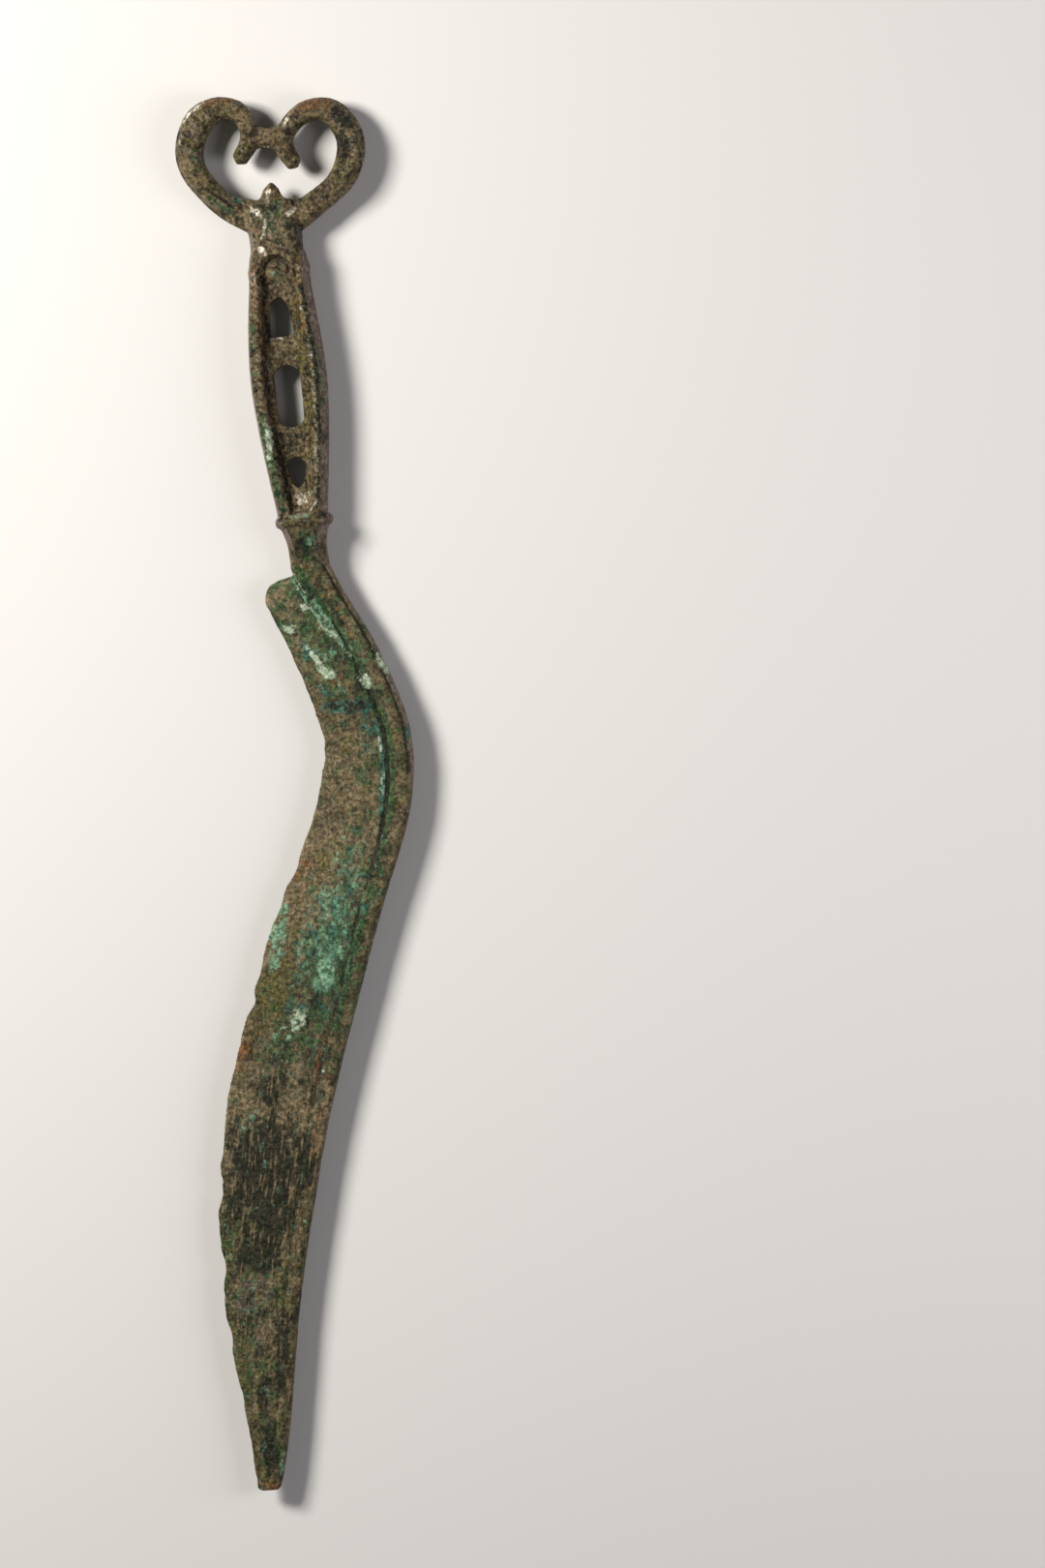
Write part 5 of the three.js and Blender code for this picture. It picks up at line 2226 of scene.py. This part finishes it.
@dataclass
class Knife:
    """The knife's sub-assemblies, cut from one casting and set in the frame."""

    datum: Datum
    nodes: Nodes
    blade: Blade
    stem: Stem
    grip: Grip
    pommel: Pommel
    first_rounds: int = 6
    last_rounds: int = 3

    @classmethod
    def from_frame(cls, nodes: Nodes) -> "Knife":
        """Reads every line and level that the casting is worked and cut by.

        Args:
            nodes: The frame's nodes by name.

        Returns:
            The knife.
        """
        datum = Datum.from_collar()
        return cls(
            datum=datum,
            nodes=nodes,
            blade=Blade.from_frame(datum, nodes),
            stem=Stem.from_frame(datum),
            grip=Grip.from_frame(datum, nodes),
            pommel=Pommel.from_frame(datum),
        )

    def build(self) -> None:
        """Casts, works, corrodes, cuts and dresses the knife."""
        patina = Patina()
        materials = {finish.name: finish.make(patina) for finish in FINISHES}
        saw = self._cut(self._cast())
        parts = (self.blade, self.stem, self.grip, self.pommel)
        owners = {node: part for part in parts for node in part.PIECES}
        for node in self.nodes:
            owners[node].dress(node, saw, materials)

    def _cast(self) -> Skin:
        """Melts the solids and works the skin.

        Returns:
            The finished skin.
        """
        skin = Skin(self.datum)
        skin.melt(self.nodes.values())
        skin.relax(self.first_rounds)
        self.grip.form(skin)
        self.pommel.form(skin)
        skin.relax(self.last_rounds)
        for fillet in (*self.pommel.fillets(), *self.grip.fillets()):
            skin.soften(fillet)
        self.blade.wear_edge(skin)
        corrosion = Corrosion(self.blade, self.grip, skin)
        corrosion.lay_tones()
        relief = corrosion.roughen()
        for part in (self.blade, self.stem, self.pommel, self.grip):
            part.carve(relief)
        skin.points += relief.normals * relief.height[:, None]
        skin.keep(corrosion.masks())
        return skin

    def _cut(self, skin: Skin) -> Saw:
        """Cuts the casting into its sub-assemblies, and these into their pieces.

        Args:
            skin: The finished skin.

        Returns:
            The saw, which holds the cut parts.
        """
        whole = bmesh.new()
        whole.from_mesh(skin.mesh)
        saw = Saw(self.datum, [whole])
        above_collar = (*self.grip.PIECES, *self.pommel.PIECES)
        saw.across(self.nodes, self.blade.top)
        saw.across((*self.stem.PIECES, *above_collar), self.stem.low)
        saw.across(("collar", *above_collar), self.stem.high)
        saw.across(above_collar, self.grip.top)
        for part in (self.blade, self.grip, self.pommel):
            part.divide(saw)
        LOG.info("cut into %d parts", len(saw.parts))
        return saw


@dataclass(frozen=True)
class Photograph:
    """Where the photograph was taken from, as sizes in its picture and turns of the knife.

    hilt_lean is how far the hilt leans left in the picture, and tilt how far the camera stands to
    the side of the blade's back, both in degrees. collar_pixel is where the middle of the collar
    appears, and film the height of the camera's sensor in millimetres.
    """

    mm_per_pixel: float = 0.195
    collar_pixel: Place = (314.5, 538.0)
    hilt_lean: float = 5.9
    tilt: float = 8.5
    distance: float = 1500.0
    film: float = 36.0

    def place_camera(self, datum: Datum) -> None:
        """Sets up the scene's camera.

        Args:
            datum: Turns millimetres into the frame.
        """
        lean = math.radians(self.hilt_lean)
        tilt = math.radians(self.tilt)
        across = Vector((math.cos(tilt), 0.0, -math.sin(tilt)))
        along = Vector((0.0, 1.0, 0.0))
        right = math.cos(lean) * across - math.sin(lean) * along
        up = math.sin(lean) * across + math.cos(lean) * along
        back = Vector((math.sin(tilt), 0.0, math.cos(tilt)))
        width, height = FRAME_PIXELS
        aside = (width / 2 - self.collar_pixel[0]) * self.mm_per_pixel
        down = (height / 2 - self.collar_pixel[1]) * self.mm_per_pixel
        place = aside * right - down * up + self.distance * back
        turn = Matrix((right, up, back)).transposed()
        data = bpy.data.cameras.new("camera")
        data.sensor_fit = "VERTICAL"
        data.sensor_height = self.film
        data.lens = self.film * self.distance / (height * self.mm_per_pixel)
        camera = bpy.data.objects.new("camera", data)
        camera.matrix_world = Matrix.Translation(datum.to_frame() @ place) @ turn.to_4x4()
        bpy.context.scene.collection.objects.link(camera)
        bpy.context.scene.camera = camera


@dataclass(frozen=True)
class SoftLamp:
    """A soft rectangular lamp that looks at the knife. place counts from what it looks at."""

    name: str
    place: tuple[float, float, float]
    size: tuple[float, float]
    power: float
    colour: tuple[float, float, float]

    def hang(self, datum: Datum, aim: Vector) -> None:
        """Adds the lamp.

        Args:
            datum: Turns millimetres into the frame.
            aim: What it looks at, in millimetres.
        """
        data = bpy.data.lights.new(self.name, "AREA")
        data.shape = "RECTANGLE"
        data.size, data.size_y = (side * MM for side in self.size)
        data.energy = self.power
        data.color = self.colour
        lamp = bpy.data.objects.new(self.name, data)
        place = aim + Vector(self.place)
        lamp.location = datum.to_frame() @ place
        lamp.rotation_euler = (aim - place).to_track_quat("-Z", "Y").to_euler()
        bpy.context.scene.collection.objects.link(lamp)


@dataclass(frozen=True)
class Studio:
    """The pale floor, the lamps and the even light all round."""

    lamps: tuple[SoftLamp, ...] = (
        SoftLamp("key", (-400.0, 300.0, 440.0), (200.0, 200.0), 5.9, (1.0, 0.97, 0.93)),
        SoftLamp("fill", (520.0, -60.0, 260.0), (240.0, 500.0), 1.7, (0.98, 0.95, 1.0)),
    )
    floor_tone: Colour = (226, 224, 220)
    floor_roughness: float = 0.85
    floor_size: float = 8000.0
    world_tone: Colour = (190, 192, 196)
    world_strength: float = 0.12

    def light(self, datum: Datum, aim: Vector) -> None:
        """Lays the floor, hangs the lamps and lights the world.

        Args:
            datum: Turns millimetres into the frame.
            aim: What the lamps look at, in millimetres.
        """
        for lamp in self.lamps:
            lamp.hang(datum, aim)
        self._lay_floor()
        self._fill_world()

    def _lay_floor(self) -> None:
        """Makes the pale floor under the knife."""
        half = self.floor_size * MM / 2
        mesh = bpy.data.meshes.new("floor")
        corners = [(-half, -half, 0.0), (half, -half, 0.0), (half, half, 0.0), (-half, half, 0.0)]
        mesh.from_pydata(corners, [], [(0, 1, 2, 3)])
        floor = bpy.data.objects.new("floor", mesh)
        bpy.context.scene.collection.objects.link(floor)
        material = bpy.data.materials.new("floor")
        material.use_nodes = True
        board = material.node_tree.nodes["Principled BSDF"].inputs
        board["Base Color"].default_value = srgb(self.floor_tone)
        board["Roughness"].default_value = self.floor_roughness
        mesh.materials.append(material)
        floor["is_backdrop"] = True

    def _fill_world(self) -> None:
        """Makes the light all round."""
        world = bpy.data.worlds.new("studio")
        world.use_nodes = True
        sky = world.node_tree.nodes["Background"].inputs
        sky["Color"].default_value = srgb(self.world_tone)
        sky["Strength"].default_value = self.world_strength
        bpy.context.scene.world = world


def plain_box(box: tuple[Vector, Vector]) -> list[list[float]]:
    """Turns a box of two corners into plain lists."""
    return [list(map(float, corner)) for corner in box]


def main() -> None:
    """Builds the knife, the studio and the camera, and aims the lamps at the middle of the
    imported solids' box.
    """
    logging.basicConfig(level=logging.INFO, format="%(message)s")
    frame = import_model()
    cad_box = plain_box(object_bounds())
    knife = Knife.from_frame(frame["nodes"])
    knife.build()
    low, high = (np.array(corner) for corner in cad_box)
    aim = (Vector((low + high) / 2) - knife.datum.middle) / MM
    Studio().light(knife.datum, aim)
    Photograph().place_camera(knife.datum)
    bpy.context.scene.view_settings.view_transform = "Standard"


if __name__ == "__main__":
    main()
